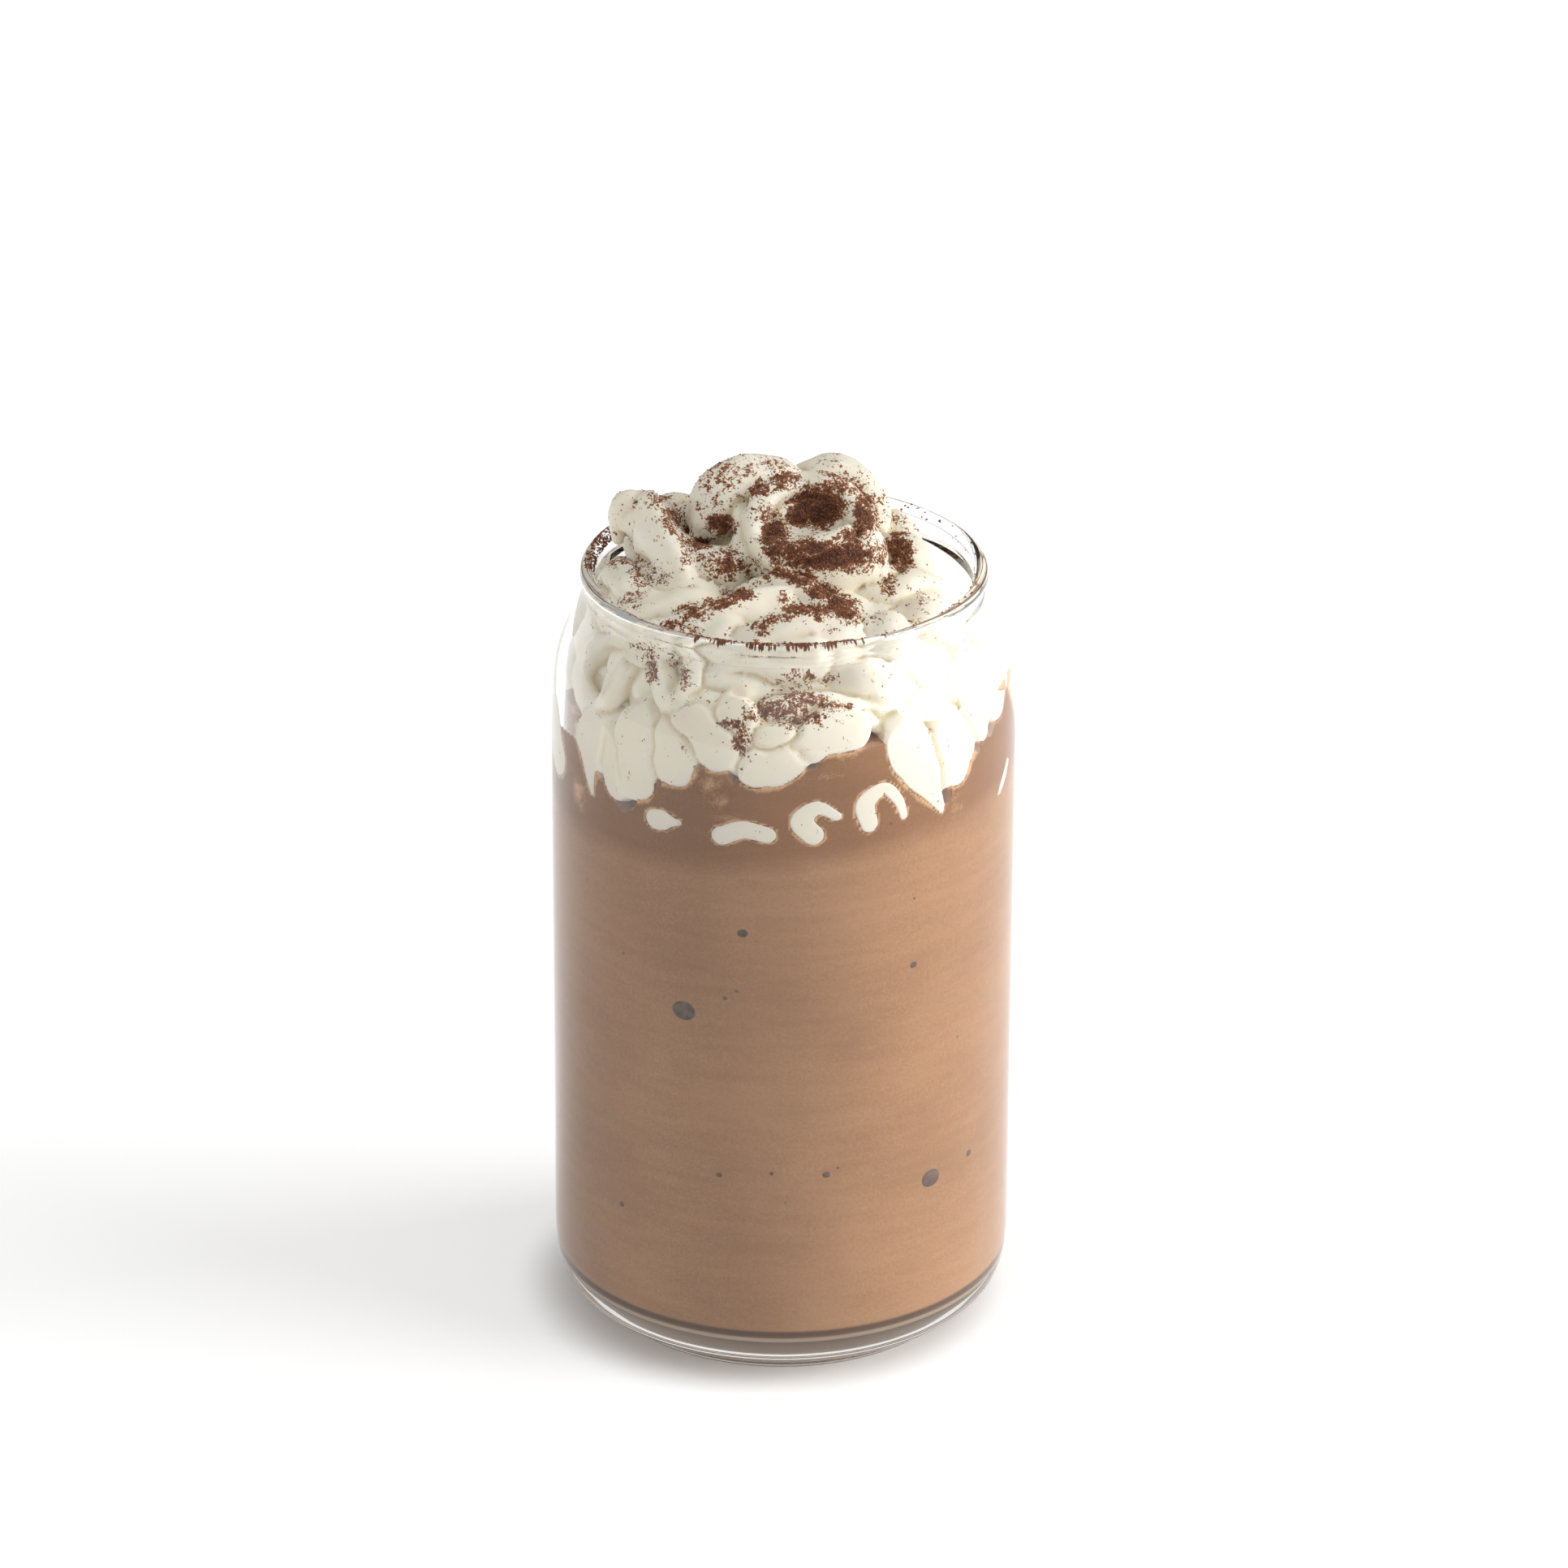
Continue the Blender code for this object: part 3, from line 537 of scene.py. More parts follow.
def build_glass():
    lip = arc(LIP_CENTRE_R, GLASS_HEIGHT - LIP_RADIUS, LIP_RADIUS, 180, -55, 26)
    keys = [(BODY_RADIUS, FOOT_CORNER_Z), (37.9, 10.0), (37.5, 7.7), (36.6, 5.4), (34.9, 3.6),
            (32.6, 2.2), (31.0, 1.5)]
    foot = [tuple(p) for p in catmull_rom(keys, 6)]
    under = [(30.7, 1.1), (FOOT_RADIUS + 0.25, 0.5), (FOOT_RADIUS, 0.12), (FOOT_RADIUS - 0.3, 0.0),
             (FOOT_RING_INNER_R + 0.3, 0.0), (FOOT_RING_INNER_R - 0.2, 0.1)]
    punt = [tuple(p) for p in catmull_rom([(26.0, 0.4), (PUNT_RADIUS, PUNT_HEIGHT * 0.7),
                                           (18.0, PUNT_HEIGHT), (0.0, PUNT_HEIGHT)], 6)]
    profile = inner_side() + lip + [tuple(p) for p in shoulder_outer()] + foot + under + punt
    glass = new_piece("glass_fine", lathe("glass_fine", profile, 160))
    glass.data.materials.append(glass_material())
    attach(glass, "root")
    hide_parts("glass")


# Whipped cream

def rounded_ends(path, cap_rings):
    def dome(end, inner):
        outward = end[:3] - inner[:3]
        outward /= np.linalg.norm(outward)
        rings = []
        for k in range(1, cap_rings + 1):
            angle = 0.5 * math.pi * k / (cap_rings + 0.35)
            centre = end[:3] + outward * end[3] * math.sin(angle)
            rings.append(np.append(centre, end[3] * math.cos(angle)))
        return rings
    return np.array(dome(path[0], path[1])[::-1] + list(path) + dome(path[-1], path[-2]))


class Rope:
    """A fluted rope of cream through (x, y, z, radius) points, with a sharp crest if ridge is set."""

    def __init__(self, points, flute=FLUTE_DEPTH, twist=1.0, crest=(0.0, 0.0, 1.0), ridge=0.0):
        path = rounded_ends(catmull_rom(points, ROPE_STEPS), ROPE_CAP_RINGS)
        self.centres = path[:, :3]
        self.radii = path[:, 3]
        self.flute = flute
        self.ridge = ridge
        tangents = np.gradient(self.centres, axis=0)
        tangents /= np.linalg.norm(tangents, axis=1)[:, None]
        side = np.cross(tangents[0], (0.0, 0.3, 1.0))
        self.sides = np.empty_like(self.centres)
        for i, tangent in enumerate(tangents):
            side = side - tangent * np.dot(side, tangent)
            side /= np.linalg.norm(side)
            self.sides[i] = side
        self.ups = np.cross(tangents, self.sides)
        self.turns = twist * 2 * math.pi * np.arange(len(path)) / len(path)
        crest = np.array(crest)
        self.crest_angles = np.arctan2(self.ups @ crest, self.sides @ crest)

    def radius_at(self, ring, angle):
        """Distance from the middle of a ring to the surface, in the direction of angle."""
        off_crest = np.angle(np.exp(1j * (angle - self.crest_angles[ring])))
        crest = self.ridge * np.exp(-(off_crest / CREST_WIDTH) ** 2)
        return self.radii[ring] * (1 + self.flute * np.cos(FLUTES * angle + self.turns[ring]) + crest)

    def mesh(self):
        angles = np.arange(ROPE_SIDES) * 2 * math.pi / ROPE_SIDES
        verts = []
        for i, centre in enumerate(self.centres):
            radius = self.radius_at(i, angles)
            verts.extend(centre + np.outer(radius * np.cos(angles), self.sides[i])
                         + np.outer(radius * np.sin(angles), self.ups[i]))
        faces = tube_faces(len(self.centres), ROPE_SIDES)
        last = (len(self.centres) - 1) * ROPE_SIDES
        faces.append(tuple(reversed(range(ROPE_SIDES))))
        faces.append(tuple(range(last, last + ROPE_SIDES)))
        return verts, faces

    def depth_outside(self, points):
        """How far points lie outside the rope, and their way from its middle."""
        best = np.full(len(points), FAR)
        ring = np.zeros(len(points), dtype=int)
        for i, centre in enumerate(self.centres):
            outside = np.linalg.norm(points - centre, axis=1) - self.radii[i]
            closer = outside < best
            best[closer] = outside[closer]
            ring[closer] = i
        offset = points - self.centres[ring]
        angle = np.arctan2(np.sum(offset * self.ups[ring], axis=1),
                           np.sum(offset * self.sides[ring], axis=1))
        length = np.linalg.norm(offset, axis=1)
        return length - self.radius_at(ring, angle), offset / length[:, None]


class Neighbours:
    """For each point, how far outside the nearest two ropes it lies, and how much the two differ."""

    def __init__(self, points, ropes):
        count = len(points)
        self.first = np.full(count, FAR)
        self.second = np.full(count, FAR)
        way = np.zeros((count, 3))
        other_way = np.zeros((count, 3))
        for rope in ropes:
            reach = rope.radii.max() * 1.6 + CREASE_REACH
            low, high = rope.centres.min(axis=0) - reach, rope.centres.max(axis=0) + reach
            close = np.where(np.all((points > low) & (points < high), axis=1))[0]
            if len(close) == 0:
                continue
            outside, direction = rope.depth_outside(points[close])
            wins = outside < self.first[close]
            won, lost = close[wins], close[~wins]
            self.second[won] = self.first[won]
            other_way[won] = way[won]
            self.first[won] = outside[wins]
            way[won] = direction[wins]
            nearer = outside[~wins] < self.second[lost]
            self.second[lost[nearer]] = outside[~wins][nearer]
            other_way[lost[nearer]] = direction[~wins][nearer]
        self.apart = 1 - np.sum(way * other_way, axis=1)


def cylinder_between(bottom, top, radius, sides=64):
    angles = np.arange(sides) * 2 * math.pi / sides
    ring = np.column_stack([radius * np.cos(angles), radius * np.sin(angles)])
    verts = [(x, y, bottom) for x, y in ring] + [(x, y, top) for x, y in ring]
    caps = [tuple(reversed(range(sides))), tuple(range(sides, 2 * sides))]
    return verts, caps + tube_faces(2, sides)


def around(azimuth, radius, z, thickness):
    a = math.radians(azimuth)
    return (radius * math.sin(a), -radius * math.cos(a), z, thickness)


def pressed(azimuth, z, half_width):
    return around(azimuth, wall_radius(z) - PRESS * half_width, z, half_width * math.hypot(1, PRESS))


def wall_lobe(*spots):
    azimuth, z, half_width = spots[0]
    root = around(azimuth, wall_radius(z) - 3.0 * half_width, z + half_width, half_width)
    return [root] + [pressed(*spot) for spot in spots]


def front_wall_lobes():
    """The row of pressed lobes round the front, from left to right, at (azimuth, z, half width)."""
    return [
        wall_lobe((-86, 108, 4.6), (-81, 105, 4.8), (-77, 102.6, 4.0)),
        wall_lobe((-57.5, 111, 4.0), (-57.5, 107.8, 3.6), (-57, 104.0, 1.9), (-56, 101.2, 0.8)),
        wall_lobe((-50.5, 110, 2.8), (-48.5, 107, 2.6), (-46.5, 104.9, 2.8)),
        wall_lobe((-41, 114.6, 3.6), (-41.3, 111, 4.0), (-41.5, 107.2, 4.3)),
        wall_lobe((-31.8, 115.6, 2.2), (-31, 113.8, 2.8), (-28.8, 111.3, 3.8)),
        wall_lobe((-28, 118.2, 1.8), (-24.5, 118.4, 2.4), (-20, 117, 3.4), (-17, 115.2, 3.8)),
        wall_lobe((-15.5, 119.8, 2.2), (-12, 119.8, 2.6), (-10.5, 117.8, 1.8)),
        wall_lobe((-8.3, 112.8, 2.8), (-4.5, 112.6, 3.3), (0, 113.6, 3.1)),
        wall_lobe((-5.5, 117, 1.8), (0, 117.4, 1.9)),
        wall_lobe((5, 116, 2.5), (9, 117, 3.0), (13.5, 117.8, 3.7), (17, 117.6, 3.4)),
        wall_lobe((33.5, 114.4, 3.6), (35.5, 111.5, 4.1), (38.5, 107.5, 3.2), (42, 103.5, 1.7),
                  (43.7, 101, 0.6)),
        wall_lobe((47.5, 113.2, 3.6), (50.5, 110.3, 4.0), (49, 107.3, 3.1)),
        wall_lobe((61, 119, 4.6), (61.5, 114.5, 4.1), (60.5, 111, 1.6)),
        wall_lobe((72, 118, 4.0), (69, 113.5, 2.9)),
    ]


def back_wall_lobes():
    lobes = []
    for i in range(BACK_LOBES):
        azimuth = BACK_START + (BACK_END - BACK_START) * (i + 0.5) / BACK_LOBES
        wave = math.sin(2.4 * i + 0.6)
        width = 4.0 + 0.6 * math.cos(1.7 * i)
        drop = 108.5 + 3.0 * wave
        lobes.append(wall_lobe((azimuth - 5, 116, width), (azimuth + 2 * wave, drop, width)))
    return lobes


def sunk_lobes():
    """Curls of cream sunk in the drink that touch the wall, at (azimuth, z, half width)."""
    curls = [
        [(-33.5, 101.2, 1.9), (-30, 101.5, 1.7), (-27, 101.6, 0.7)],
        [(-15.5, 100.6, 1.7), (-10, 102.0, 1.6), (-4, 101.3, 1.5)],
        [(13.5, 104.2, 0.9), (8.5, 105.9, 1.3), (4.5, 103.7, 1.8), (7.5, 101.2, 1.8)],
        [(22, 102.1, 1.5), (21, 105.8, 1.7), (26, 107.8, 1.2), (30, 105.3, 1.0), (31.5, 102.4, 0.8)],
        [(75.5, 101.6, 0.8), (72.5, 99.4, 0.9), (69.5, 97.9, 0.6)],
    ]
    return [[pressed(*spot) for spot in curl] for curl in curls]


def recessed(thickness, gap, *spots):
    """A rope of one thickness that stays clear of the wall by gap, through (azimuth, z) spots."""
    return [around(azimuth, wall_radius(z) - gap - thickness, z, thickness) for azimuth, z in spots]


def shoulder_folds():
    """The folds between the pressed lobes and the mouth, seen through the shoulder of the glass."""
    return [
        # loop on the left and the hollow inside it
        recessed(2.1, 0.4, (-63, 113.5), (-69, 114), (-73, 117.5), (-70, 122.5), (-62, 125.5)),
        recessed(2.0, 0.2, (-49, 128), (-51, 123.5), (-54, 118.5), (-58, 114.5), (-63, 113.5)),
        recessed(4.0, 2.4, (-62, 112), (-61, 122)),
        recessed(4.0, 1.6, (-88, 122), (-86, 114)),
        # slope to the right of the loop
        recessed(4.5, 2.2, (-46.5, 127), (-47.5, 121), (-44, 117)),
        # fold bent like a V, with a groove in it
        recessed(2.2, 0.5, (-44, 129), (-40.5, 126), (-38.5, 123), (-35, 120), (-30, 118.8)),
        recessed(2.1, 0.7, (-32, 129), (-29.5, 127), (-28.5, 124), (-30, 121)),
        recessed(3.2, 3.6, (-37.5, 127), (-34, 121)),
        recessed(2.8, 1.0, (-31.5, 120), (-27, 119.8), (-21, 120)),
        # broad smooth band in the middle
        recessed(5.0, 2.2, (-24, 128), (-15.5, 126.5), (-3.5, 126.5), (8, 127), (20, 128)),
        recessed(4.5, 2.6, (-24, 123), (-14, 122)),
        # ledge below it, where the cocoa lies
        recessed(3.4, 1.4, (-8, 118.8), (-1, 119.6), (7.5, 120), (18, 119.5)),
        recessed(3.6, 4.2, (-8, 121.5), (2, 122.5), (15, 122)),
        # knob on the right with its front facet
        recessed(5.2, 0.4, (27.5, 123.5), (31, 122.5)),
        recessed(3.4, 1.6, (19, 119), (33, 119)),
        # right folds
        recessed(4.2, 0.2, (38.5, 129), (43.5, 125.5), (48.5, 122)),
        recessed(2.8, 0.6, (43, 118.5), (50, 119)),
        recessed(4.4, 0.5, (58, 128), (64, 122), (67, 117)),
        recessed(4.5, 1.0, (80, 124), (88, 118), (92, 112)),
    ]


def back_folds():
    folds = []
    for i in range(7):
        azimuth = 118 + 26 * i
        rise = 116.0 + 1.5 * math.sin(1.9 * i) + 8.0 * (i / 6) ** 2
        folds.append([around(azimuth - 12, 25, rise, 5.2), around(azimuth, 27.5, rise + 2.0, 5.4),
                      around(azimuth + 9, 28.5, rise - 5.0, 5.0)])
    return folds


def crested_folds():
    """The folds above the mouth that end in a sharp crest: crest direction, ridge, points."""
    return [
        # left lobe
        ((-0.2, 0.1, 1.0), 0.42, [(-21.4, 3.5, 138.6, 4.1), (-20.7, 1, 137.2, 4.2),
                                  (-19.3, -2.5, 135.3, 4.4), (-17.2, -6.5, 132.6, 4.8)]),
        # two ridges in front, the first in two strands
        ((0.0, 0.25, 1.0), 0.45, [(-21.5, -20.5, 126.6, 3.2), (-17.3, -21.5, 128.0, 3.2),
                                  (-13.5, -21, 129.6, 3.3), (-8.6, -19.6, 130.6, 3.4),
                                  (-3.4, -17.6, 131.2, 3.4), (2, -16, 130.8, 3.2)]),
        ((0.1, 0.2, 1.0), 0.45, [(-6, -12.8, 130.0, 2.8), (-2.8, -13.3, 132.0, 2.8),
                                 (1.5, -14.3, 132.8, 2.8), (6, -16.3, 130.8, 2.8),
                                 (10.5, -17.8, 128.2, 2.8)]),
        ((0.0, 0.2, 1.0), 0.42, [(-8.5, -25, 125.5, 3.2), (-4.5, -25.3, 128.6, 3.2),
                                 (-0.8, -24.5, 130.1, 3.3), (3.1, -23.5, 130.5, 3.3),
                                 (8.3, -22.5, 129.7, 3.3), (12.2, -22, 128.6, 3.3),
                                 (17.4, -21.5, 126.2, 3.4)]),
        # left wall of the petal
        ((-0.3, -0.7, 0.7), 0.40, [(-5.2, -3.0, 141.6, 1.8), (-4.6, -6.0, 139.8, 1.9),
                                   (-2.8, -8.8, 137.4, 2.1), (0.5, -10.4, 134.6, 2.6)]),
    ]


def top_folds():
    """The round folds that stand above the mouth. Points are (x, y, z, radius)."""
    return [
        # crest at the top and its right neighbour behind
        [(-1.2, 8, 143.0, 4.5), (-6.4, 5.5, 144.1, 4.8), (-10.3, 4, 142.8, 4.9), (-11.6, 3, 139.6, 4.4)],
        [(2, 11.5, 139, 4.6), (5.1, 12, 140.5, 4.7), (9.0, 13, 141.2, 4.7), (12.6, 11, 137.6, 4.8),
         (13.5, 8, 131.5, 5)],
        [(-12.5, 7, 136, 5.0), (-9, 6, 134, 6.0)],
        # petal: a round belly, the wall behind it and the rim round its scoop
        [(0, -4.2, 134.6, 6.6), (5.5, -5, 135.2, 7.4), (10, -4, 135.6, 6.8)],
        [(0, 1, 140, 5.0), (8, 1, 140, 5.0)],
        [(-4.9, -4.4, 141.2, 2.2), (-3.6, -2, 144.1, 2.4), (-0.6, 0.3, 145.4, 2.4),
         (3.2, 2, 145.4, 2.4), (6.6, 1.2, 145.6, 2.5), (9.9, -0.6, 144.2, 2.6),
         (12, -3.4, 141.4, 2.8), (12.6, -6.4, 137.6, 3.0)],
        [(-2.6, -8.6, 139.0, 2.1), (1, -10.2, 139.4, 2.1), (5, -10.3, 140.2, 2.1), (9, -8.2, 141.4, 2.3)],
        # band that sweeps from the left lobe under the crest and up to the petal
        [(-18.2, -2, 135.0, 4.2), (-15.2, -4.9, 134.0, 4.3), (-10.6, -6.4, 133.8, 4.3),
         (-6.6, -5.6, 135.4, 3.4), (-5.8, -3.4, 138.6, 2.6), (-6.6, -1, 141.0, 2.2)],
        # knob with a drip, mound behind the left lobe, bud at the rim, slope below
        [(-27.0, 3.4, 135.4, 1.3), (-26.9, 4.2, 137.8, 2.0), (-26.0, 4.8, 140.4, 2.6),
         (-23.6, 5, 140.2, 2.8)],
        [(-26.2, 4.6, 138.6, 2.7), (-23.2, 3.8, 138.2, 3.6)],
        [(-22, 9, 132.5, 4.6), (-17.5, 12, 134.8, 4.6), (-14, 12.5, 133.6, 4.6)],
        [(-26.2, -3.5, 131.6, 3.4), (-24.6, -8.5, 131.2, 3.6)],
        [(-23, -10.5, 127.3, 6.0), (-20, -13.2, 127.5, 6.0), (-15.2, -12.6, 128.2, 6.2)],
        [(-19.5, -6.5, 129.5, 6.2), (-15, -9.5, 129.0, 6.0)],
        # between the ridges
        [(-12, -17, 126.5, 5.5), (0, -15, 127.5, 6.0), (10, -14, 127.0, 6.0)],
        [(0.5, -26.3, 129.2, 2.6), (4.6, -26.2, 129.3, 2.4)],
        # right lobes
        [(16.4, 3.4, 132.2, 3.8), (19.6, 2.2, 133.0, 3.8), (21, -0.4, 131.2, 3.6)],
        [(15.4, -8.4, 128.2, 5.2), (19.4, -4.8, 129.3, 5.0), (22.3, -2.2, 126.8, 5.0)],
        [(13.6, -15.4, 126.8, 4.6), (18.4, -12.4, 127.0, 4.6), (22.6, -6.6, 126.8, 4.6)],
        [(14.6, 12, 133.0, 3.8), (17, 11, 133.8, 3.7), (18.8, 8.8, 132.4, 3.7)],
        [(22.5, 6.5, 122.6, 4.2), (24.4, 3, 124.2, 4.2), (25.2, -2.4, 123.8, 4.2)],
    ]


def cream_ropes():
    ropes = []
    plain = front_wall_lobes() + back_wall_lobes() + shoulder_folds() + back_folds() + top_folds()
    for i, points in enumerate(plain):
        ropes.append(Rope(points, twist=0.6 + 0.25 * (i % 4)))
    return ropes + [Rope(points, crest=crest, ridge=ridge) for crest, ridge, points in crested_folds()]


def fused(name, shapes, voxel):
    """One closed mesh of many closed shapes, by a voxel remesh."""
    verts = []
    faces = []
    for shape_verts, shape_faces in shapes:
        start = len(verts)
        verts.extend(np.array(v) * MM for v in shape_verts)
        faces.extend(tuple(start + i for i in face) for face in shape_faces)
    made = new_piece(name, mesh_from(name, verts, faces))
    remesh = made.modifiers.new("Fuse", "REMESH")
    remesh.mode = "VOXEL"
    remesh.voxel_size = voxel * MM
    soften = made.modifiers.new("Soften", "SMOOTH")
    soften.factor = 0.5
    soften.iterations = SOFTEN_ROUNDS
    depsgraph = bpy.context.evaluated_depsgraph_get()
    mesh = bpy.data.meshes.new_from_object(made.evaluated_get(depsgraph))
    made.modifiers.clear()
    made.data = mesh
    mesh.shade_smooth()
    return made


def of_vertices(mesh, name):
    flat = np.empty(len(mesh.vertices) * 3)
    mesh.vertices.foreach_get(name, flat)
    return flat.reshape(-1, 3)


def positions(mesh):
    return of_vertices(mesh, "co")


def normals(mesh):
    return of_vertices(mesh, "normal")


def set_positions(mesh, points):
    mesh.vertices.foreach_set("co", points.ravel())
    mesh.update()


def press_on_wall(mesh, into_wall):
    """Moves what lies beyond the glass's inner wall back onto it, flat."""
    points = positions(mesh)
    limit = (wall_radius(points[:, 2] / MM) + into_wall) * MM
    reach = np.hypot(points[:, 0], points[:, 1])
    beyond = (reach > limit) & (points[:, 2] < GLASS_HEIGHT * MM)
    points[beyond, :2] *= (limit[beyond] / reach[beyond])[:, None]
    set_positions(mesh, points)


def crumple(mesh, amount, size):
    """Moves the surface in and out by slow noise, so that no fold is perfectly smooth."""
    points = positions(mesh)
    directions = normals(mesh)
    shift = [noise.noise(Vector(p) / size) + 0.5 * noise.noise(Vector(p) * 2.3 / size) for p in points]
    set_positions(mesh, points + directions * (np.array(shift) * amount)[:, None])


def sharpen_creases(mesh, ropes):
    """Deepens the lines where two ropes of cream meet at an angle, and marks them for the painted shade
    that darkens them.
    """
    points = positions(mesh)
    near = Neighbours(points / MM, ropes)
    depth = CREASE_DEPTH * np.clip(1 - (near.second - near.first) / CREASE_REACH, 0, 1) ** 1.5
    depth *= np.clip((near.apart - 0.15) / 0.5, 0, 1)
    depth[near.second > CREASE_REACH] = 0.0
    set_positions(mesh, points - normals(mesh) * (depth * MM)[:, None])
    mark(mesh, "painted_crease_shade", depth / CREASE_DEPTH)


def carve(mesh, centre, radii, open_to):
    """Hollows out an ellipsoid by moving its part of the surface away from its opening."""
    points = positions(mesh)
    inward = -np.array(open_to) / np.linalg.norm(open_to)
    local = (points / MM - centre) / radii
    step = inward / radii
    inside = np.sum(local * local, axis=1) < 1
    a = np.dot(step, step)
    b = local[inside] @ step
    c = np.sum(local[inside] ** 2, axis=1) - 1
    distance = (-b + np.sqrt(b * b - a * c)) / a
    points[inside] += inward * (distance * MM)[:, None]
    set_positions(mesh, points)


def build_cream(ropes):
    shapes = [rope.mesh() for rope in ropes]
    shapes += [cylinder_between(CREAM_FLOOR_Z, top, radius) for top, radius in CORE_CYLINDERS]
    shapes.append(Rope(CORE_DOME, flute=0.0).mesh())
    cream = fused("whipped_cream_fine", shapes, CREAM_VOXEL)
    carve(cream.data, *PETAL_SCOOP)
    crumple(cream.data, CRUMPLE_DEPTH * MM, CRUMPLE_SIZE * MM)
    press_on_wall(cream.data, CREAM_INTO_WALL)
    sharpen_creases(cream.data, ropes)
    press_on_wall(cream.data, CREAM_INTO_WALL)
    return cream


# Cocoa powder

def seen_from_front(points):
    """Places of points (metres) in the camera's picture, in mm right and up from the glass's axis."""
    offset = points - np.array(CAMERA_PLACE)
    depth = offset @ np.array(CAMERA_AXES[2])
    scale = CAMERA_DISTANCE / depth / MM
    return (offset @ np.array(CAMERA_AXES[0])) * scale, (offset @ np.array(CAMERA_AXES[1])) * scale


def cocoa_density(mesh):
    """Cocoa on each vertex: the patches of the front, a light dusting elsewhere, all from above."""
    points = positions(mesh)
    directions = normals(mesh)
    across, up = seen_from_front(points)
    facing = np.clip((directions[:, 2] + 0.6) / 0.9, 0, 1)
    toward = directions @ -np.array(CAMERA_AXES[2])
    density = np.zeros(len(points))
    for x, y, half_width, half_height, amount in COCOA_PATCHES:
        apart = np.hypot((across - x) / half_width, (up - y) / half_height)
        density = np.maximum(density, amount * np.clip(1.6 - apart, 0, 1))
    density[toward < -0.05] = 0.0
    height = points[:, 2] / MM
    radius = np.hypot(points[:, 0], points[:, 1]) / MM
    dusting = np.where((height > 116) & (radius < 33), DUSTING * facing ** 1.5, 0.0)
    behind = np.clip((points[:, 1] / MM - 2) / 6, 0, 1) * np.clip((height - 122) / 10, 0, 1)
    dusting += DUSTING_BEHIND * behind * facing
    return np.maximum(density * (0.72 + 0.36 * facing), dusting)


def scatter_grains(name, mesh, density):
    """One mesh of small lumps of powder on the surface, thickest where the density is high."""
    mesh.calc_loop_triangles()
    corners = np.empty(len(mesh.loop_triangles) * 3, dtype=int)
    mesh.loop_triangles.foreach_get("vertices", corners)
    corners = corners.reshape(-1, 3)
    points = positions(mesh)
    a, b, c = (points[corners[:, i]] for i in range(3))
    area = 0.5 * np.linalg.norm(np.cross(b - a, c - a), axis=1)
    centres = (a + b + c) / 3
    patchy = np.array([noise.noise(Vector(p) / (GRAIN_PATCH * MM)) for p in centres])
    weight = area * np.clip(density[corners].mean(axis=1) + 0.9 * patchy - 0.45, 0, 1) ** 1.5
    chosen = rng.choice(len(corners), size=GRAIN_COUNT, p=weight / weight.sum())
    mix = rng.dirichlet((1, 1, 1), size=GRAIN_COUNT)
    spots = np.einsum("ij,ijk->ik", mix, np.stack([a[chosen], b[chosen], c[chosen]], axis=1))
    return lumps(name, spots, GRAIN_SIZE * (0.5 + rng.random(GRAIN_COUNT)))


def lumps(name, spots, sizes):
    """Small uneven octahedra at the given spots."""
    axes = np.eye(3)
    corners = np.stack([axes, -axes], axis=1).reshape(6, 3)
    sides = [(0, 2, 4), (2, 1, 4), (1, 3, 4), (3, 0, 4), (2, 0, 5), (1, 2, 5), (3, 1, 5), (0, 3, 5)]
    count = len(spots)
    turns = rng.random(count) * 2 * math.pi
    cos, sin = np.cos(turns)[:, None], np.sin(turns)[:, None]
    stretch = 0.55 + 0.6 * rng.random((count, 6, 1))
    shape = corners[None] * stretch
    shape = np.stack([shape[:, :, 0] * cos - shape[:, :, 1] * sin,
                      shape[:, :, 0] * sin + shape[:, :, 1] * cos, shape[:, :, 2] * 0.8], axis=2)
    verts = (spots[:, None] + shape * (sizes * MM)[:, None, None]).reshape(-1, 3)
    faces = (np.arange(count)[:, None, None] * 6 + np.array(sides)[None]).reshape(-1, 3)
    mesh = bpy.data.meshes.new(name)
    mesh.from_pydata(verts.tolist(), [], faces.tolist())
    return new_piece(name, mesh)


def rim_grains():
    """Powder on the lip and on the inside of the neck, in patches at (azimuth, half width) degrees."""
    spots = []
    for azimuth, half_width, count in RIM_PATCHES:
        for _ in range(count):
            turn = math.radians(azimuth + half_width * float(np.clip(rng.normal(0, 0.5), -1, 1)))
            angle = math.radians(rng.uniform(75, 200))
            radius = (LIP_CENTRE_R + (LIP_RADIUS + 0.05) * math.cos(angle)) * MM
            z = (GLASS_HEIGHT - LIP_RADIUS + (LIP_RADIUS + 0.05) * math.sin(angle)) * MM
            spots.append((radius * math.sin(turn), -radius * math.cos(turn), z))
    return lumps("cocoa_on_rim", np.array(spots), 0.15 + 0.20 * rng.random(len(spots)))


# Drink

def drink_level(azimuth):
    """Height of the drink at the wall, azimuth in degrees from the front."""
    return np.interp(azimuth, LEVEL_AZIMUTHS, LEVEL_HEIGHTS)


def inward_distance(tree, point):
    """Distance from a point on the wall to the cream behind it, in mm."""
    inward = Vector((-point[0], -point[1], 0)).normalized()
    hit = tree.ray_cast(Vector(point), inward, 4 * MM)
    return 4.0 if hit[0] is None else hit[3] / MM


def film_patch(azimuth, z):
    """How thin and light the drink is at a place on the wall."""
    amount = 0.0
    for centre, height, half_width, half_height, most in FILM_PATCHES:
        across = math.radians(azimuth - centre) * wall_radius(z) / half_width
        amount = max(amount, most * (1.4 - math.hypot(across, (z - height) / half_height)))
    return min(amount, 1.0)


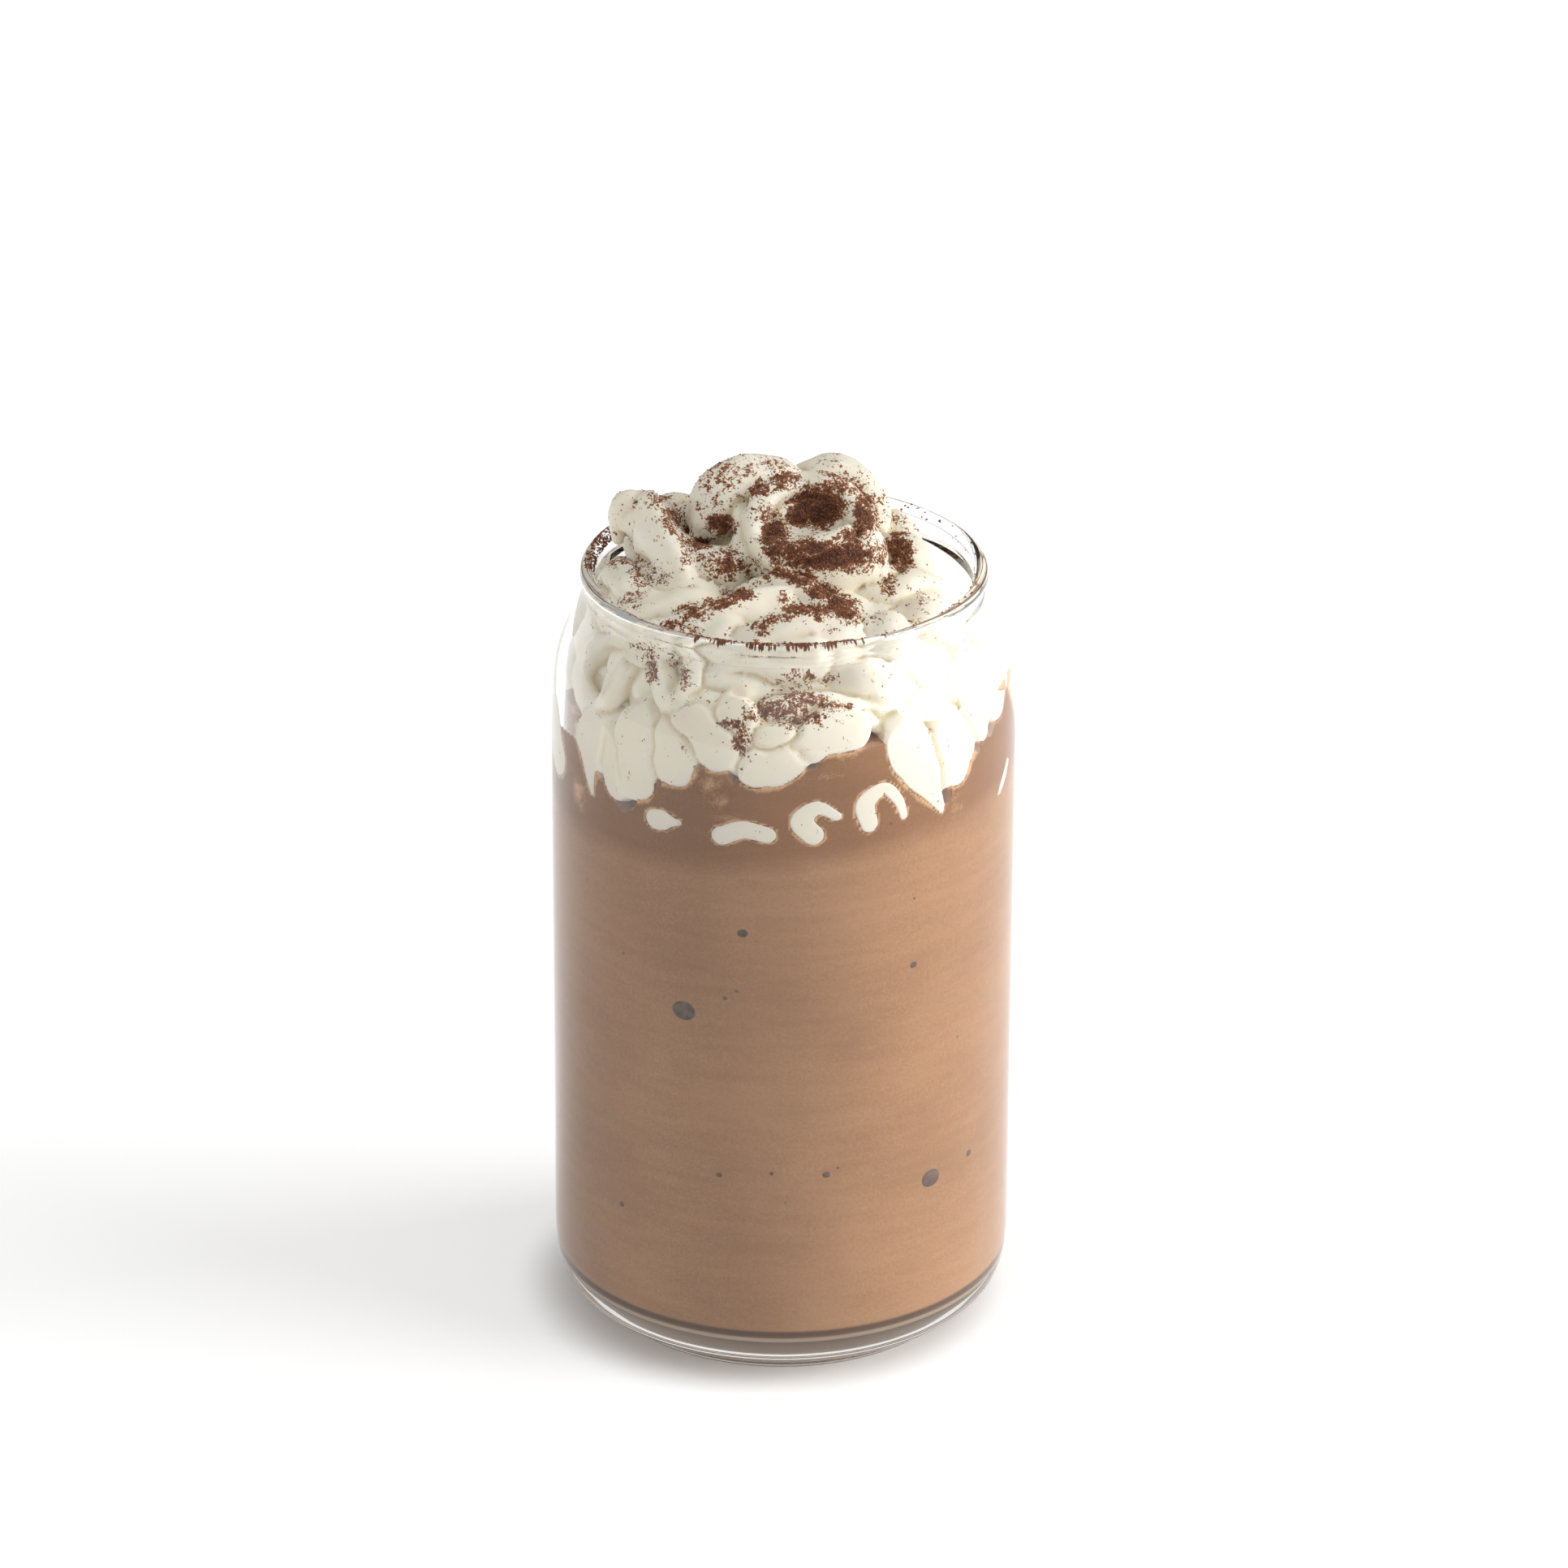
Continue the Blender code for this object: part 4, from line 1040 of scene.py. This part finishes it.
def build_drink(ropes, creams):
    side = [(r, z) for r, z in inner_side() if z < DRINK_FINE_Z]
    side += [(BODY_RADIUS - WALL, z) for z in (PAINTED_SHADE_TOP, 30.0)]
    side += [(float(wall_radius(z)), z) for z in np.linspace(DRINK_FINE_Z, DRINK_LEVEL, DRINK_ROWS)]
    side = [(r + DRINK_INTO_WALL * min(1.0, r), z - DRINK_INTO_WALL * (z < FLOOR_Z + FLOOR_CORNER))
            for r, z in side]
    top = [(r, DRINK_LEVEL) for r in (33.0, 25.0, 12.0, 0.0)]
    drink = new_piece("milkshake_fine", lathe("milkshake_fine", side + top, DRINK_STEPS))
    points = positions(drink.data)
    azimuth = np.degrees(np.arctan2(points[:, 0], -points[:, 1]))
    rise = np.clip((points[:, 2] / MM - LEVEL_FROM_Z) / (DRINK_LEVEL - LEVEL_FROM_Z), 0, 1)
    points[:, 2] += rise * (drink_level(azimuth) - DRINK_LEVEL) * MM
    reach = np.hypot(points[:, 0], points[:, 1]) / MM
    wall = np.where((reach > 34) & (points[:, 2] / MM > 96))[0]
    near = Neighbours(points[wall] / MM, ropes)
    trees = [BVHTree.FromPolygons(positions(c.data).tolist(), [p.vertices for p in c.data.polygons])
             for c in creams]
    thin = np.zeros(len(points))
    for i, first, other in zip(wall, near.first, near.second):
        apart = min(inward_distance(tree, points[i]) for tree in trees)
        thin[i] = max(0.0, 1 - apart / FILM_DEPTH, film_patch(azimuth[i], points[i, 2] / MM))
        pull = np.clip((CREASE_FILL - other) / 0.4, 0, 1)
        if pull > 0 and first < CREASE_FILL:
            points[i, :2] *= 1 - pull * CREASE_PULL / reach[i]
    set_positions(drink.data, points)
    mark(drink.data, "thin", thin)
    height = points[:, 2] / MM
    foam = np.clip((height - 94 - 3 * np.sin(np.radians(azimuth) * 1.3)) / 4, 0, 1)
    mark(drink.data, "foam", foam)
    # Painted shade in a dark line round the bottom corner, and painted light below it
    corner = np.clip(reach - PAINTED_CORNER_RADIUS, 0, 1)
    shade = np.clip((PAINTED_SHADE_TOP - height) / 0.4, 0, 1) * np.clip((height - PAINTED_SHADE_BOTTOM) / 0.4, 0, 1)
    mark(drink.data, "shade", shade * corner)
    painted_base_light = np.clip((PAINTED_SHADE_BOTTOM + 0.3 - height) / 0.4, 0, 1) * corner
    mark(drink.data, "painted_base_light", painted_base_light)
    return drink


def build_bubbles():
    """Air bubbles and dark specks against the wall, at (azimuth, z, radius)."""
    spots = list(WALL_BUBBLES)
    for _ in range(SMALL_BUBBLES):
        spots.append((rng.uniform(-180, 180), rng.uniform(14, 112), 0.10 + 0.22 * rng.random() ** 2))
    bm = bmesh.new()
    for azimuth, z, radius in spots:
        x, y, z, _ = around(azimuth, wall_radius(z) + 0.02, z, 0)
        turn = Matrix.Rotation(math.radians(azimuth), 4, "Z")
        flat = Matrix.Diagonal(BUBBLE_SHAPE)
        place = Matrix.Translation(Vector((x, y, z)) * MM) @ turn @ flat
        segments = 20 if radius > 0.6 else 8
        bmesh.ops.create_uvsphere(bm, u_segments=segments, v_segments=segments // 2,
                                  radius=BUBBLE_GROWTH * radius * MM, matrix=place)
    mesh = bpy.data.meshes.new("air_bubbles")
    bm.to_mesh(mesh)
    bm.free()
    mesh.shade_smooth()
    return new_piece("air_bubbles", mesh)


# Run

build_glass()
ropes = cream_ropes()
cream = build_cream(ropes)
powder_density = cocoa_density(cream.data)
mark(cream.data, "cocoa", powder_density)
cream.data.materials.append(cream_material())
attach(cream, "root")
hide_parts("whipped_cream")

sunk = fused("sunk_cream", [Rope(points, flute=0.0).mesh() for points in sunk_lobes()], SUNK_VOXEL)
press_on_wall(sunk.data, CREAM_INTO_WALL)
sunk.data.materials.append(cream.data.materials[0])
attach(sunk, "root")

grains = scatter_grains("cocoa_grains", cream.data, powder_density)
rim = rim_grains()
wall_spots = [around(azimuth, wall_radius(z) - 0.02, z, 0)[:3] for azimuth, z, _ in WALL_GRAINS]
specks = lumps("cocoa_specks", np.array(wall_spots) * MM, np.array([r for _, _, r in WALL_GRAINS]) * 1.3)
powder = cocoa_material()
for piece in (grains, rim, specks):
    piece.data.materials.append(powder)
    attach(piece, "root")

drink = build_drink(ropes, [cream, sunk])
drink.data.materials.append(drink_material())
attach(drink, "root")
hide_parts("milkshake")

bubbles = build_bubbles()
bubbles.data.materials.append(bubble_material())
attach(bubbles, "root")

# Floor
bpy.ops.mesh.primitive_plane_add(size=6.0, location=(0, 0, 0))
floor = bpy.context.object
floor.name = "studio_floor"
floor.data.materials.append(floor_material())


def soft_sun(name, azimuth, elevation, strength, spread):
    """Even light from far away."""
    a, e = math.radians(azimuth), math.radians(elevation)
    place = Vector((math.sin(a) * math.cos(e), -math.cos(a) * math.cos(e), math.sin(e)))
    light = bpy.data.lights.new(name, "SUN")
    light.energy = strength
    light.angle = math.radians(spread)
    made = new_piece(name, light)
    made.location = place
    made.rotation_euler = (-place).to_track_quat("-Z", "Y").to_euler()


def world_strength(tree):
    """Dim surroundings, brighter where the glass itself shows them."""
    path = tree.nodes.new("ShaderNodeLightPath")
    direct = tree.nodes.new("ShaderNodeMath")
    direct.operation = "LESS_THAN"
    direct.inputs[1].default_value = 0.5
    tree.links.new(path.outputs["Diffuse Depth"], direct.inputs[0])
    through = tree.nodes.new("ShaderNodeMath")
    through.operation = "MULTIPLY"
    tree.links.new(path.outputs["Is Transmission Ray"], through.inputs[0])
    tree.links.new(direct.outputs[0], through.inputs[1])
    strength = tree.nodes.new("ShaderNodeMapRange")
    strength.inputs["To Min"].default_value = WORLD_STRENGTH
    strength.inputs["To Max"].default_value = WORLD_IN_GLASS
    tree.links.new(through.outputs[0], strength.inputs["Value"])
    return strength.outputs["Result"]


for sun in SUNS:
    soft_sun(*sun)

world = bpy.data.worlds.new("studio")
world.use_nodes = True
background = world.node_tree.nodes["Background"]
background.inputs["Color"].default_value = (1.0, 1.0, 1.0, 1.0)
world.node_tree.links.new(world_strength(world.node_tree), background.inputs["Strength"])
bpy.context.scene.world = world

camera_data = bpy.data.cameras.new("camera")
camera_data.lens = CAMERA_LENS
camera_data.sensor_width = CAMERA_SENSOR
camera_data.clip_start = 0.01
camera = new_piece("camera", camera_data)
right, up, forward = CAMERA_AXES
turned = Matrix((right, up, -forward)).transposed().to_4x4()
camera.matrix_world = Matrix.Translation(CAMERA_PLACE) @ turned
bpy.context.scene.camera = camera
bpy.context.scene.view_settings.view_transform = "Standard"
